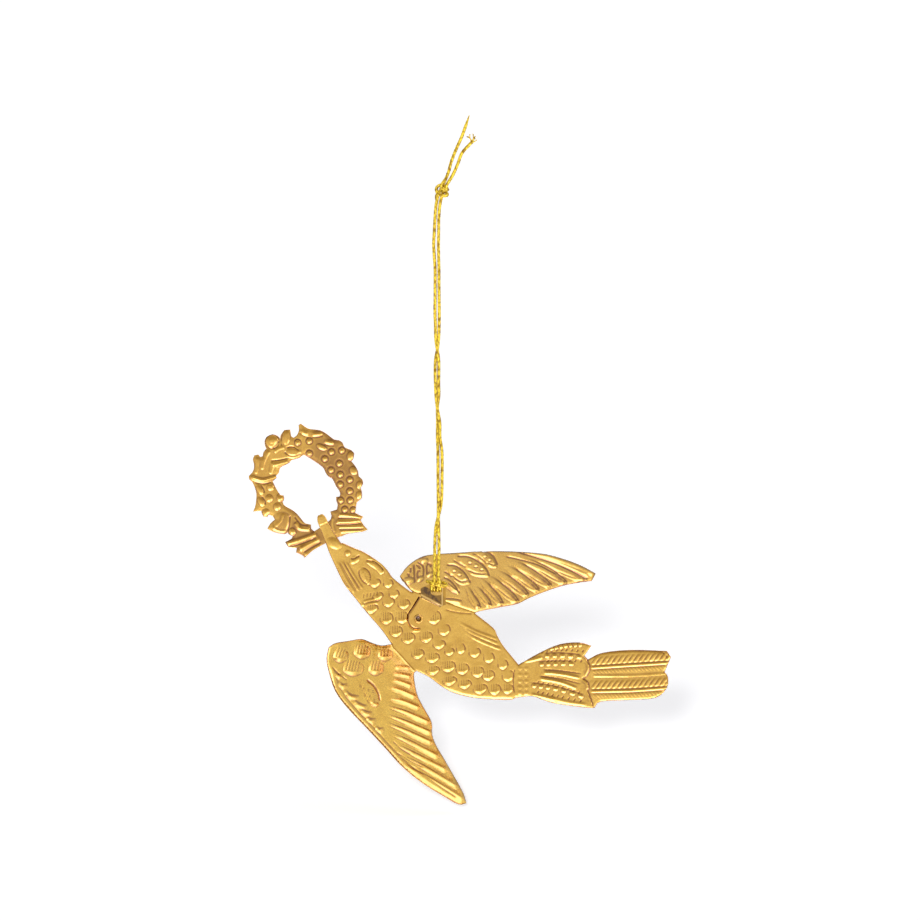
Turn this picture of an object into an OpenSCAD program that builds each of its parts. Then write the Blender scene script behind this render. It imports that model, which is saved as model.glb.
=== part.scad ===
// Hanging ornament: a stamped brass bird in flight with a wreath in its beak, on a tied metallic cord.
// The origin is the inside of the cord's loop, just under its knot. +X runs to the tail, +Y away from the
// side that shows the bird's face, +Z up. Tables of shares are points across and up, as parts of one size.

/* [Bird] */
// Length of the bird from the beak to the end of the tail
bird_l = 107; // [85:1:130]
// Thickness of the stamped bird sheet
sheet_t = 0.4; // [0.3:0.05:0.6]
// Length that the wing outlines are shares of
wing_l = 65; // [50:1:80]
// Angle by which the near wing is folded towards the viewer
near_bend = 53; // [40:1:60]
// Angle by which the far wing is folded away from the viewer
far_bend = 62; // [50:1:70]

/* [Beak strap] */
// Width of the strap where it is folded over the wreath
strap_w = 3; // [2:0.1:3.6]
// Length of the strap's end behind the wreath
strap_back_l = 6; // [4:0.5:8]

/* [Wreath] */
// Diameter that the wreath's outline is shares of
wreath_d = 34.7; // [30:0.1:38]
// Thickness of the stamped wreath sheet
wreath_t = 0.4; // [0.3:0.05:0.6]
// Diameter of the large berry at the wreath's upper left
berry_d = 4.6; // [3.5:0.1:5.5]

/* [Hanger bracket] */
// Thickness of the bracket's strip
strip_t = 0.5; // [0.4:0.05:0.7]
// Radius of the round end of the bracket's ear
ear_r = 2.85; // [2.4:0.05:3.2]
// Width of the bracket along its fold line
fold_w = 6.96; // [6:0.02:8]
// Distance of the fold line's middle from the rivet, across
fold_x = 3.83; // [3:0.01:4.5]
// Height of the fold line's middle above the rivet
fold_z = 5.29; // [4.5:0.01:6]
// Slope of the fold line, down towards the tail
fold_slope = 24.2; // [15:0.1:30]
// Angle by which the tab leans back from the ear
tab_lean = 10; // [5:1:18]
// Height of the tab above the fold line's middle
tab_h = 5.6; // [5.2:0.1:6.5]
// Depth of the stiffening lug on the tab's tail side
lug_d = 1.2; // [0.8:0.1:1.6]
// Gap between the ear and the bird sheet, which clears the stamped relief
ear_gap = 0.6; // [0.5:0.05:0.8]

/* [Cord slot] */
// Width of the slot that the cord passes through
slot_w = 3.6; // [3.4:0.1:3.9]
// Height of the slot
slot_h = 2.2; // [2:0.1:2.4]
// Height of the bar that is left above the slot
bar_h = 1.4; // [1.2:0.1:1.5]
// Distance of the slot's middle from the fold line's middle, across
slot_x = 1.75; // [1.6:0.01:1.9]

/* [Rivet] */
// Diameter of the rivet's shank
shank_d = 2; // [1.6:0.1:2.2]
// Running clearance between the shank and the ear's hole
shank_gap = 0.05; // [0.02:0.01:0.1]
// Diameter of the rolled rim in front of the ear
rim_d = 2.9; // [2.6:0.1:3.4]
// Thickness of the rolled rim
rim_t = 0.35; // [0.25:0.05:0.5]
// Gap between the rim and the ear
rim_gap = 0.06; // [0.03:0.01:0.1]
// Diameter of the hollow in the rivet's front end
hollow_d = 1.5; // [1.2:0.1:1.6]
// Depth of the hollow
hollow_l = 1.1; // [0.6:0.1:1.3]
// Diameter of the rivet's head behind the sheet
head_d = 3.4; // [3:0.1:4]
// Thickness of the head
head_t = 0.5; // [0.4:0.1:0.8]

/* [Cord] */
// Diameter of the cord
cord_d = 1; // [0.8:0.05:1.1]
// Drop from the loop's inside to the middle of the bar
hang_drop = 121.4; // [120:0.1:125]
// Distance of the bar's middle from the line below the loop, across
bar_x = -0.5; // [-1:0.1:0]
// Gap between the bar's turning circle and the hitch's wraps
wrap_gap = 0.3; // [0.2:0.05:0.4]
// Distance of each wrap from the bar's middle, across
wrap_x = 0.85; // [0.7:0.05:0.9]
// Diameter of the gathered top of the hitch
hitch_d = 2.6; // [2.2:0.1:3]
// Width of the knot
knot_d = 3.6; // [3:0.1:4.2]
// Height of the knot
knot_h = 5; // [4:0.1:6]

/* [Hidden] */
$fn = 48;
brass = [0.80, 0.60, 0.26];
warm_brass = [0.74, 0.53, 0.24];
cord_gold = [0.84, 0.70, 0.16];

// Overrun of a cut past the face that it opens
cut_over = 0.2;
// Radius by which a fold's bead is larger than half the sheet, and how far it stops short of the fold's ends
bead_extra = 0.08;
bead_inset = 0.5;
// Share of a polyhedral tube's sides
cord_sides = 8;

// Outline of the bird without its wings, as shares of bird_l from the rivet
strap_shares = [[-0.268, 0.220], [-0.281, 0.258], [-0.250, 0.258]];
head_top_shares = [
    [-0.224, 0.223], [-0.216, 0.221], [-0.187, 0.208], [-0.156, 0.195], [-0.111, 0.164], [-0.090, 0.142],
    [-0.074, 0.119], [-0.040, 0.091], [-0.023, 0.079], [-0.017, 0.078]
];
back_shares = [
    [0.164, 0.014], [0.217, -0.029], [0.228, -0.050], [0.244, -0.079], [0.268, -0.110], [0.290, -0.138]
];
tail_fan_top_shares = [
    [0.355, -0.100], [0.410, -0.076], [0.465, -0.071], [0.501, -0.081], [0.481, -0.111]
];
tail_feather_shares = [
    [0.491, -0.122], [0.532, -0.103], [0.613, -0.094], [0.720, -0.097], [0.732, -0.115], [0.714, -0.159],
    [0.723, -0.174], [0.720, -0.206], [0.688, -0.236], [0.613, -0.242], [0.529, -0.247]
];
tail_fan_low_shares = [
    [0.510, -0.266], [0.465, -0.262], [0.392, -0.251], [0.355, -0.239], [0.329, -0.230]
];
belly_shares = [
    [0.281, -0.236], [0.265, -0.242], [0.213, -0.241], [0.155, -0.235], [0.102, -0.222], [0.065, -0.201],
    [0.031, -0.174], [-0.006, -0.156]
];
throat_shares = [
    [-0.078, -0.076], [-0.107, -0.034], [-0.149, 0.015], [-0.185, 0.061], [-0.214, 0.100], [-0.234, 0.140],
    [-0.256, 0.188]
];
// The wings' fold lines join the body's outline, and the strap's fold and hold on the wreath lie along its strap
near_root_front_share = throat_shares[0];
near_root_rear_share = belly_shares[7];
far_root_front_share = head_top_shares[9];
far_root_rear_share = back_shares[0];
strap_fold_share = [-0.280, 0.302];
strap_hold_share = [-0.256, 0.276];
strap_foot_share = [-0.245, 0.222];

// Wing outlines as shares of wing_l, along the fold line from its front end and out from it
near_wing_shares = [
    [0, 0], [-0.036, 0.059], [-0.089, 0.098], [-0.132, 0.129], [-0.176, 0.202], [-0.217, 0.273],
    [-0.230, 0.324], [-0.204, 0.384], [-0.157, 0.433], [-0.071, 0.492], [0.028, 0.508], [0.162, 0.505],
    [0.300, 0.504], [0.425, 0.505], [0.555, 0.476], [0.663, 0.434], [0.745, 0.397], [0.772, 0.353],
    [0.720, 0.318], [0.601, 0.277], [0.491, 0.245], [0.433, 0.213], [0.391, 0.157], [0.314, 0.130],
    [0.246, 0.098], [0.180, 0.031], [0.177, 0]
];
far_wing_shares = [
    [0, 0], [-0.057, 0.055], [-0.077, 0.084], [-0.053, 0.173], [-0.006, 0.263], [0.047, 0.314],
    [0.145, 0.378], [0.264, 0.452], [0.406, 0.527], [0.552, 0.585], [0.665, 0.604], [0.758, 0.599],
    [0.831, 0.578], [0.822, 0.520], [0.712, 0.433], [0.637, 0.352], [0.553, 0.248], [0.503, 0.175],
    [0.436, 0.116], [0.334, 0.028], [0.315, 0]
];

// Outline of the wreath and of its hole, as shares of wreath_d from its centre, and where the strap holds it
wreath_hold_share = [0.232, -0.392];
berry_share = [-0.290, 0.372];
leaf_rim_shares = [
    [-0.222, 0.360], [-0.209, 0.426], [-0.176, 0.475], [-0.123, 0.479], [-0.114, 0.418], [-0.094, 0.404],
    [-0.064, 0.426], [-0.046, 0.472], [-0.049, 0.518], [-0.030, 0.534], [0.033, 0.490], [0.092, 0.479],
    [0.145, 0.472], [0.189, 0.449], [0.234, 0.414], [0.271, 0.388], [0.315, 0.381], [0.346, 0.358],
    [0.364, 0.316], [0.420, 0.293], [0.449, 0.262], [0.442, 0.216], [0.423, 0.190], [0.457, 0.148],
    [0.483, 0.099], [0.490, 0.053], [0.521, 0.023], [0.528, -0.016], [0.505, -0.053], [0.518, -0.091],
    [0.516, -0.144], [0.494, -0.167], [0.471, -0.190], [0.464, -0.244], [0.457, -0.281]
];
bow_rim_shares = [
    [0.528, -0.316], [0.505, -0.350], [0.538, -0.400], [0.569, -0.434], [0.524, -0.453], [0.390, -0.472],
    [0.286, -0.509], [0.186, -0.563], [0.129, -0.593], [0.070, -0.632], [0.007, -0.692], [-0.015, -0.669],
    [-0.071, -0.643], [-0.064, -0.601], [-0.123, -0.597], [-0.168, -0.548], [-0.113, -0.518], [-0.131, -0.479]
];
holly_rim_shares = [
    [-0.179, -0.476], [-0.272, -0.456], [-0.328, -0.426], [-0.302, -0.381], [-0.261, -0.342], [-0.279, -0.312],
    [-0.317, -0.297], [-0.328, -0.319], [-0.362, -0.316], [-0.377, -0.289], [-0.391, -0.263], [-0.454, -0.270],
    [-0.436, -0.221], [-0.429, -0.175], [-0.425, -0.114], [-0.436, -0.061], [-0.462, 0.000], [-0.488, 0.023],
    [-0.494, 0.053], [-0.466, 0.084], [-0.447, 0.121], [-0.447, 0.167], [-0.457, 0.205], [-0.444, 0.244],
    [-0.406, 0.251], [-0.391, 0.228], [-0.369, 0.236], [-0.362, 0.274], [-0.336, 0.304], [-0.310, 0.330]
];
hole_right_shares = [
    [-0.001, 0.247], [0.070, 0.205], [0.114, 0.175], [0.152, 0.148], [0.178, 0.121], [0.193, 0.084],
    [0.219, 0.049], [0.248, 0.034], [0.267, 0.004], [0.286, -0.038], [0.312, -0.076], [0.323, -0.107],
    [0.315, -0.133], [0.286, -0.137], [0.289, -0.175], [0.301, -0.205], [0.293, -0.251], [0.234, -0.270],
    [0.245, -0.308], [0.234, -0.346], [0.204, -0.370], [0.161, -0.406], [0.133, -0.423]
];
hole_left_shares = [
    [0.092, -0.449], [0.066, -0.426], [0.062, -0.388], [0.011, -0.377], [-0.020, -0.342], [-0.056, -0.297],
    [-0.094, -0.263], [-0.138, -0.236], [-0.176, -0.213], [-0.190, -0.183], [-0.176, -0.152], [-0.183, -0.121],
    [-0.213, -0.114], [-0.243, -0.068], [-0.279, 0.007], [-0.243, 0.038], [-0.250, 0.057], [-0.224, 0.084],
    [-0.213, 0.130], [-0.168, 0.156], [-0.131, 0.175], [-0.113, 0.198], [-0.064, 0.213], [-0.020, 0.239]
];

// Turns of a point about the X and Y axes, and shares turned into sizes
function turn_x(p, a) = [p.x, p.y * cos(a) - p.z * sin(a), p.y * sin(a) + p.z * cos(a)];
function turn_y(p, a) = [p.x * cos(a) + p.z * sin(a), p.y, p.z * cos(a) - p.x * sin(a)];
function sized(points, size) = [for (p = points) size * p];
function upright(p) = [p.x, 0, p.y];

// The bracket's faces, from the sheet's middle towards the viewer
ear_back_y = -sheet_t / 2 - ear_gap;
ear_front_y = ear_back_y - strip_t;
rim_back_y = ear_front_y - rim_gap;
fold_mid = [fold_x, (ear_back_y + ear_front_y) / 2, fold_z];
bar_z = tab_h - bar_h / 2;
slot_z = tab_h - bar_h - slot_h / 2;
bar_from_fold = turn_y(turn_x(turn_y([slot_x, 0, bar_z], -fold_slope), -tab_lean), fold_slope);
bar_pos = [bar_x, 0, -hang_drop];
rivet_pos = bar_pos - bar_from_fold - fold_mid;
bar_turn_r = norm([bar_h, strip_t]) / 2;
wrap_r = bar_turn_r + wrap_gap + cord_d / 2;
hitch_z = bar_turn_r + wrap_gap + hitch_d / 2;

// The strap's fold is pressed flat on both faces of the wreath
fold_in_r = wreath_t / 2;
fold_out_r = fold_in_r + sheet_t;
strap_y = sheet_t / 2 + fold_in_r;
strap_run = strap_fold_share - strap_foot_share;
strap_front_l = 0.8 * bird_l * norm(strap_run);
strap_lean = atan2(-strap_run.x, strap_run.y);
wreath_centre = upright(bird_l * strap_hold_share - wreath_d * wreath_hold_share) + [0, strap_y, 0];

// Routes of the cord's two strands, up from the hitch to the knot and out as its loose ends
long_route = [
    [0.45, 0, -117.4], [0.45, 0, -114], [0.3, 0, -110], [0.25, 0, -106], [0.2, -0.4, -102.5],
    [0.1, -0.55, -99], [0.1, -0.4, -95.5], [0.05, -0.1, -91], [0, 0, -86.5], [0, 0, -82],
    [-0.05, 0.1, -78], [-0.2, 0.4, -74], [-0.15, 0.5, -69.5], [-0.2, 0.55, -65], [0.25, 0.4, -61],
    [0.2, 0.3, -57], [0.25, 0.1, -53], [0.2, -0.3, -49.5], [-0.2, -0.55, -46.5], [-0.7, -0.35, -43],
    [-0.8, -0.1, -39], [-0.95, 0, -34.5], [-0.9, 0, -30], [-0.9, 0, -25.5], [-0.9, 0, -21],
    [-1.15, 0, -17], [-1.35, 0, -13], [-1.15, 0, -9], [-0.95, 0, -5], [-0.65, 0, -1],
    [0.1, 0.3, 2.6], [1.7, 0.5, 6], [3.2, 0.3, 9.6], [4.1, 0.1, 13], [5.6, 0, 17],
    [7.2, 0, 20.6], [8.5, 0, 24.2], [9.7, 0, 27.8]
];
short_route = [
    [-0.9, 0, -117.4], [-0.95, 0, -114], [-1, 0, -110], [-0.9, 0, -106], [-0.6, 0.4, -102.5],
    [0.2, 0.55, -99], [0.95, 0.4, -95.5], [1.2, 0.1, -91], [1.25, 0, -86.5], [1.3, 0, -82],
    [1.15, -0.1, -78], [0.6, -0.4, -74], [0.55, -0.5, -69.5], [-0.2, -0.55, -65], [-0.65, -0.4, -61],
    [-0.8, -0.3, -57], [-0.9, -0.1, -53], [-0.75, 0.3, -49.5], [-0.2, 0.55, -46.5], [0.2, 0.35, -43],
    [0.35, 0.1, -39], [0.4, 0, -34.5], [0.35, 0, -30], [0.3, 0, -25.5], [0.3, 0, -21],
    [0.2, 0, -17], [0.15, 0, -13], [0.2, 0, -9], [0.25, 0, -5], [0.55, 0, -1],
    [1.3, -0.4, 2.6], [2.6, -0.6, 5.6], [4.6, -0.5, 9], [6.1, -0.4, 12.4], [7.4, -0.3, 15.8],
    [9.6, -0.2, 18.4], [11, -0.2, 19.8]
];
knot_centre = [1.2, 0, 3.9];

// A closed tube along a route that never runs parallel to the Y axis
module tube(route, d, sides) {
    count = len(route);
    points = [
        for (i = [0 : count - 1])
            let (
                run = route[min(i + 1, count - 1)] - route[max(i - 1, 0)],
                along = run / norm(run),
                side = cross(along, [0, 1, 0]),
                across = side / norm(side),
                over = cross(across, along)
            )
            for (k = [0 : sides - 1])
                let (a = 360 * k / sides)
                route[i] + d / 2 * (cos(a) * across + sin(a) * over)
    ];
    walls = [
        for (i = [0 : count - 2], k = [0 : sides - 1])
            let (k2 = (k + 1) % sides)
            each [
                [i * sides + k, i * sides + k2, (i + 1) * sides + k2],
                [i * sides + k, (i + 1) * sides + k2, (i + 1) * sides + k]
            ]
    ];
    first_cap = [for (k = [1 : sides - 2]) [0, k + 1, k]];
    last = (count - 1) * sides;
    last_cap = [for (k = [1 : sides - 2]) [last, last + k, last + k + 1]];
    polyhedron(points, concat(walls, first_cap, last_cap));
}

// A flat sheet that stands in the XZ plane, with its middle at y = 0
module standing_sheet(points, t) {
    rotate([90, 0, 0])
        linear_extrude(t, center = true)
            polygon(points);
}

// A wing plate and the bead of its fold, on side 1 above the fold line or side -1 below it
module wing(outline_shares, front_share, rear_share, bend, side) {
    run = rear_share - front_share;
    slope = atan2(run.y, run.x);
    translate(upright(bird_l * front_share))
        rotate([0, -slope, 0]) {
            rotate([90 - bend, 0, 0])
                linear_extrude(sheet_t, center = true)
                    polygon([for (p = outline_shares) wing_l * [p.x, side * p.y]]);
            translate([bead_inset, 0, 0])
                rotate([0, 90, 0])
                    cylinder(h = bird_l * norm(run) - 2 * bead_inset, r = sheet_t / 2 + bead_extra);
        }
}

// The strap's half-round fold over the wreath and its end behind it
module strap_fold() {
    translate(upright(bird_l * strap_fold_share) + [0, strap_y, 0])
        rotate([0, -strap_lean, 0]) {
            rotate([0, 0, -90])
                rotate([90, 0, 0])
                    rotate_extrude(angle = 180)
                        translate([fold_in_r, -strap_w / 2])
                            square([sheet_t, strap_w]);
            translate([-strap_w / 2, fold_in_r, -strap_back_l])
                cube([strap_w, sheet_t, strap_back_l]);
            translate([-strap_w / 2, -fold_out_r, -strap_front_l])
                cube([strap_w, sheet_t, strap_front_l]);
        }
}

module bird_sheet() {
    color(brass)
        translate(rivet_pos)
            difference() {
                union() {
                    standing_sheet(sized(concat(strap_shares, head_top_shares, back_shares,
                        tail_fan_top_shares, tail_feather_shares, tail_fan_low_shares,
                        belly_shares, throat_shares), bird_l), sheet_t);
                    wing(far_wing_shares, far_root_front_share, far_root_rear_share, far_bend, 1);
                    wing(near_wing_shares, near_root_front_share, near_root_rear_share, near_bend, -1);
                    strap_fold();
                }
                rotate([90, 0, 0])
                    cylinder(h = sheet_t + 2 * cut_over, d = shank_d, center = true);
            }
}

module wreath() {
    color(warm_brass)
        translate(rivet_pos + wreath_centre)
            difference() {
                union() {
                    standing_sheet(sized(concat(leaf_rim_shares, bow_rim_shares, holly_rim_shares), wreath_d),
                        wreath_t);
                    translate(upright(wreath_d * berry_share))
                        rotate([90, 0, 0])
                            cylinder(h = wreath_t, d = berry_d, center = true);
                }
                standing_sheet(sized(concat(hole_right_shares, hole_left_shares), wreath_d),
                    wreath_t + 2 * cut_over);
            }
}

// A tubular rivet: head behind the sheet, shank through it and the ear, rolled rim in front
module rivet() {
    color(brass)
        translate(rivet_pos)
            rotate([90, 0, 0])
                difference() {
                    union() {
                        translate([0, 0, -sheet_t / 2 - head_t])
                            cylinder(h = head_t, d = head_d);
                        translate([0, 0, -sheet_t / 2])
                            cylinder(h = sheet_t / 2 - rim_back_y, d = shank_d);
                        translate([0, 0, -rim_back_y])
                            cylinder(h = rim_t, d = rim_d);
                    }
                    translate([0, 0, rim_t - rim_back_y - hollow_l])
                        cylinder(h = hollow_l + cut_over, d = hollow_d);
                }
}

// The flat ear that the rivet holds, with a round end
module ear() {
    half_fold = fold_w / 2 * [cos(fold_slope), -sin(fold_slope)];
    fold_point = [fold_x, fold_z];
    aside = 0.93 * ear_r * [fold_z, -fold_x] / norm(fold_point);
    translate([0, fold_mid.y, 0])
        rotate([90, 0, 0])
            linear_extrude(strip_t, center = true)
                difference() {
                    union() {
                        circle(ear_r);
                        polygon([aside, fold_point + half_fold, fold_point - half_fold, -aside]);
                    }
                    circle(shank_d / 2 + shank_gap);
                }
}

// The tab that stands up from the fold line, with the cord's slot and a lug along its tail side
module tab() {
    foot = fold_w / 2 * [cos(fold_slope), -sin(fold_slope)];
    tail_x = slot_x + slot_w / 2 + 2 * strip_t;
    head_x = -foot.x;
    chamfer = tab_h / 4;
    translate(fold_mid)
        rotate([0, fold_slope, 0])
            rotate([-tab_lean, 0, 0])
                rotate([0, -fold_slope, 0]) {
                    rotate([90, 0, 0])
                        linear_extrude(strip_t, center = true)
                            difference() {
                                polygon([-foot, foot, [tail_x, foot.y + strip_t], [tail_x, tab_h],
                                    [head_x + 2 * chamfer, tab_h], [head_x, tab_h - chamfer]]);
                                translate([slot_x, slot_z]) {
                                    square([slot_w - slot_h, slot_h], center = true);
                                    for (end = [-1, 1])
                                        translate([end * (slot_w - slot_h) / 2, 0])
                                            circle(d = slot_h);
                                }
                            }
                    translate([tail_x - strip_t, -strip_t / 2 - lug_d, foot.y + strip_t])
                        cube([strip_t, lug_d + strip_t / 2, tab_h - foot.y - strip_t]);
                }
    translate(fold_mid + upright(-foot))
        rotate([0, fold_slope, 0])
            translate([bead_inset, 0, 0])
                rotate([0, 90, 0])
                    cylinder(h = fold_w - 2 * bead_inset, r = strip_t / 2 + bead_extra);
}

module hanger_bracket() {
    color(brass)
        translate(rivet_pos) {
            ear();
            tab();
        }
}

// The girth hitch: two wraps round the bar, gathered above it
module cord_hitch() {
    color(cord_gold)
        translate(bar_pos) {
            for (side = [-1, 1])
                translate([side * wrap_x, 0, 0])
                    rotate([0, 90, 0])
                        rotate_extrude()
                            translate([wrap_r, 0])
                                circle(d = cord_d, $fn = 24);
            translate([0, 0, hitch_z])
                sphere(d = hitch_d);
        }
}

// The overhand knot, a barrel with two rounds of cord
module cord_knot() {
    color(cord_gold)
        translate(knot_centre)
            for (end = [-1, 1])
                translate([0, 0, end * (knot_h - knot_d) / 2])
                    sphere(d = knot_d);
}

module cord_strand_long() {
    color(cord_gold)
        tube(long_route, cord_d, cord_sides);
}

module cord_strand_short() {
    color(cord_gold)
        tube(short_route, cord_d, cord_sides);
}

bird_sheet();
wreath();
rivet();
hanger_bracket();
cord_hitch();
cord_knot();
cord_strand_long();
cord_strand_short();
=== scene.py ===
"""A stamped brass bird with a wreath in its beak, hung by a riveted bracket from a knotted metallic cord.

The reliefs are laid out in the photograph's pixels and carried onto the folded sheet.
"""

import math

import bmesh
import bpy
import numpy as np
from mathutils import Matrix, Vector
from mathutils.geometry import delaunay_2d_cdt


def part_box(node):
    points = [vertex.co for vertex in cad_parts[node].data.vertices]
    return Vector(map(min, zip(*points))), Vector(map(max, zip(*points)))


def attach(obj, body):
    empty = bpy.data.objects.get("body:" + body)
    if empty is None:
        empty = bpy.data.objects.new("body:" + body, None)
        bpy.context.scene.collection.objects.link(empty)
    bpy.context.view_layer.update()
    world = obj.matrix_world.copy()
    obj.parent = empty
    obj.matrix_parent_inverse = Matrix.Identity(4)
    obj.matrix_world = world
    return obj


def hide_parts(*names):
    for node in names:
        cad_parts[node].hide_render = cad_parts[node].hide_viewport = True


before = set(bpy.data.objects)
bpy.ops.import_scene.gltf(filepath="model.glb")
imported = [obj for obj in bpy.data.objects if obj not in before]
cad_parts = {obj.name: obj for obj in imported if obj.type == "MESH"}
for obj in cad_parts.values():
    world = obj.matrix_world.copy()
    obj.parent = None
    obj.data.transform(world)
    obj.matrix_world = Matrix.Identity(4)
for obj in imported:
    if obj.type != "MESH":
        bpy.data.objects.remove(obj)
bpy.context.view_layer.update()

# The photograph: metres a pixel, pixels a side, the pixel of the frame's origin and the camera's rise
PIXEL = 0.00031
PHOTO_SIDE = 920
ORIGIN_PX = (438.0, 203.0)
RISE = math.radians(12)
SIN_RISE = math.sin(RISE)
COS_RISE = math.cos(RISE)

# The sheets, in metres: the depths of the bird and the wreath, and the thickness that both are drawn with
SHEET_Y = 0.000149
WREATH_Y = 0.000549
THICK = 0.00026

# The wings fold along these creases, in pixels, by so many degrees and with this softness in metres
NEAR_CREASE = [(391.6, 644), (416.5, 671)]
FAR_CREASE = [(412.5, 592), (474.9, 613.4)]
NEAR_BEND = 53
FAR_BEND = 62
CREASE_RADIUS = 0.0009

# The first seed of the hand work's unevenness
SEED = 7

# Outlines of the bird's parts and of the wreath, in pixels
HEAD_UP = [
    (341, 543), (343.8, 543.5), (354, 548), (364.4, 552.4), (380, 562.7), (387.4, 570.2), (393, 578),
    (404.6, 587.4), (410.4, 591.4), (412.5, 592)]
HEAD_LOW = [
    (326, 544), (330, 554.7), (337.5, 571), (344.4, 584.5), (354.7, 597.7), (367, 613), (381.4, 629.6),
    (391.6, 644)]
BELLY = [
    (416.5, 671), (429, 677), (441, 686), (453.5, 693), (471.8, 697.6), (492, 699.5), (510, 700),
    (515.5, 697.8)]
BACK = [(474.9, 613.4), (493.3, 628), (497, 635), (502.5, 644.8), (511, 655.5), (518.5, 664.7)]
NEAR = [
    (391.6, 644), (381, 645.5), (370, 642), (361, 639), (348, 641), (335.5, 643), (329, 647), (327, 658),
    (329, 671), (335.5, 691), (348, 708), (367, 728), (386.5, 749), (404, 768), (425, 784.5), (444, 796),
    (459, 804), (467, 803), (463, 791), (450, 768), (437.6, 747.5), (432.4, 735), (431.8, 722),
    (423.5, 707), (417, 693), (414, 675), (416.5, 671)]
FAR = [
    (412.5, 592), (403, 581), (399.9, 575.9), (407.6, 566), (419.8, 557.6), (432, 554.5), (453.5, 553),
    (479.5, 551.4), (510, 551.4), (540.7, 553.7), (563.7, 559), (582, 566), (595.8, 573.6), (592, 580.5),
    (567.5, 584.3), (549.9, 589.7), (530, 597.4), (517.8, 603.5), (502.5, 606.5), (479.5, 611),
    (474.9, 613.4)]
TAIL = [
    (518.5, 664.7), (541, 651.9), (560, 644), (579, 642.3), (591.4, 645.5), (584.4, 655.7), (588, 659.5),
    (602, 653), (630, 650), (667, 651), (671, 657), (664.7, 672), (668, 677), (667, 687.6), (655.8, 697.8),
    (630, 700), (601, 701.6), (594.6, 708), (579, 706.7), (553.8, 703), (541, 699), (532, 696),
    (515.5, 697.8)]
STRAP = [(317.4, 521.5), (324.6, 518)]
WREATH_OUT = [
    (264.5, 441.2), (266.5, 437), (272.3, 434.3), (277.5, 435.8), (280.2, 438.7), (280.6, 435.3),
    (284.3, 430), (290.2, 429.5), (291.2, 436.2), (293.5, 437.7), (296.8, 435.3), (298.9, 430.3),
    (298.5, 425.3), (300.6, 423.5), (307.7, 428.3), (314.3, 429.5), (320.2, 430.3), (325.2, 432.8),
    (330.2, 436.6), (334.3, 439.5), (339.3, 440.3), (342.7, 442.8), (344.8, 447.4), (351, 449.9),
    (354.3, 453.3), (353.5, 458.3), (351.4, 461.2), (355.2, 465.8), (358.1, 471.2), (358.9, 476.2),
    (362.3, 479.5), (363.1, 483.7), (360.6, 487.8), (362, 492), (361.8, 497.8), (359.3, 500.3),
    (356.8, 502.8), (356, 508.7), (355.2, 512.8), (363.1, 516.6), (360.6, 520.3), (364.3, 525.8),
    (367.7, 529.5), (362.7, 531.6), (347.7, 533.7), (341.8, 536.2), (336, 537.8), (324.8, 543.7),
    (318.5, 547), (311.8, 551.2), (304.8, 557.8), (302.3, 555.3), (296, 552.4), (296.8, 547.8),
    (290.2, 547.4), (287.7, 546.2), (285.2, 542), (291.4, 538.7), (292.5, 536), (289.3, 534.5),
    (287.5, 532.5), (283.9, 534.1), (273.5, 532), (267.3, 528.7), (270.2, 523.7), (274.8, 519.5),
    (272.7, 516.2), (268.5, 514.5), (267.3, 517), (263.5, 516.6), (261.8, 513.7), (261.4, 511.2),
    (260.2, 510.8), (253.1, 511.6), (255.2, 506.2), (256, 501.2), (256.4, 494.5), (255.2, 488.7),
    (252.3, 482), (249.3, 479.5), (248.7, 476.2), (251.8, 472.8), (253.9, 468.7), (253.9, 463.7),
    (252.8, 459.5), (254.3, 455.3), (258.5, 454.5), (260.2, 457), (262.7, 456.2), (263.5, 452),
    (266.4, 448.7), (265, 445.5)]
WREATH_IN = [
    (303.9, 454.9), (307.7, 457), (311.8, 459.5), (316.8, 462.8), (321, 465.8), (323.9, 468.7),
    (325.6, 472.8), (328.5, 476.6), (331.8, 478.3), (333.9, 481.6), (336, 486.2), (338.9, 490.3),
    (340.2, 493.7), (339.3, 496.6), (336, 497), (336.4, 501.2), (337.7, 504.5), (336.8, 509.5),
    (330.2, 511.6), (331.4, 515.7), (330.2, 519.9), (326.8, 522.5), (322, 526.5), (318.9, 528.3),
    (314.3, 531.2), (311.4, 528.7), (311, 524.5), (305.2, 523.3), (301.8, 519.5), (297.7, 514.5),
    (293.5, 510.8), (288.5, 507.8), (284.3, 505.3), (282.7, 502), (284.3, 498.7), (283.5, 495.3),
    (280.2, 494.5), (276.8, 489.5), (274.3, 484.5), (272.7, 481.2), (276.8, 477.8), (276, 475.8),
    (278.9, 472.8), (280.2, 467.8), (285.2, 464.9), (289.3, 462.8), (291.4, 460.3), (296.8, 458.7),
    (300.2, 457.4), (301.8, 455.8)]


def smooth(x, lo, hi):
    """A soft step from 0 at lo to 1 at hi."""
    t = np.clip((x - lo) / (hi - lo), 0, 1)
    return t * t * (3 - 2 * t)


def hump(distance, width):
    """A soft hump that is 1 where the distance is 0."""
    return np.exp(-(distance / width) ** 2)


def faded(t, fade):
    """Full in the middle of a line, and faded in and out over these shares of its length."""
    return smooth(t, -0.001, fade[0]) * smooth(1 - t, -0.001, fade[1])


def moved(line, dx, dy):
    return [(x + dx, y + dy) for x, y in line]


def beside(points, way, shares):
    """Points moved sideways, each by its own share of one way."""
    return [p + way * share for p, share in zip(points, shares)]


def inside(p, poly):
    x, y = p.T
    found = np.zeros(len(p), bool)
    for (x1, y1), (x2, y2) in zip(poly, poly[1:] + poly[:1]):
        if y1 != y2:
            found ^= ((y1 > y) != (y2 > y)) & (x < (x2 - x1) * (y - y1) / (y2 - y1) + x1)
    return found


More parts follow.
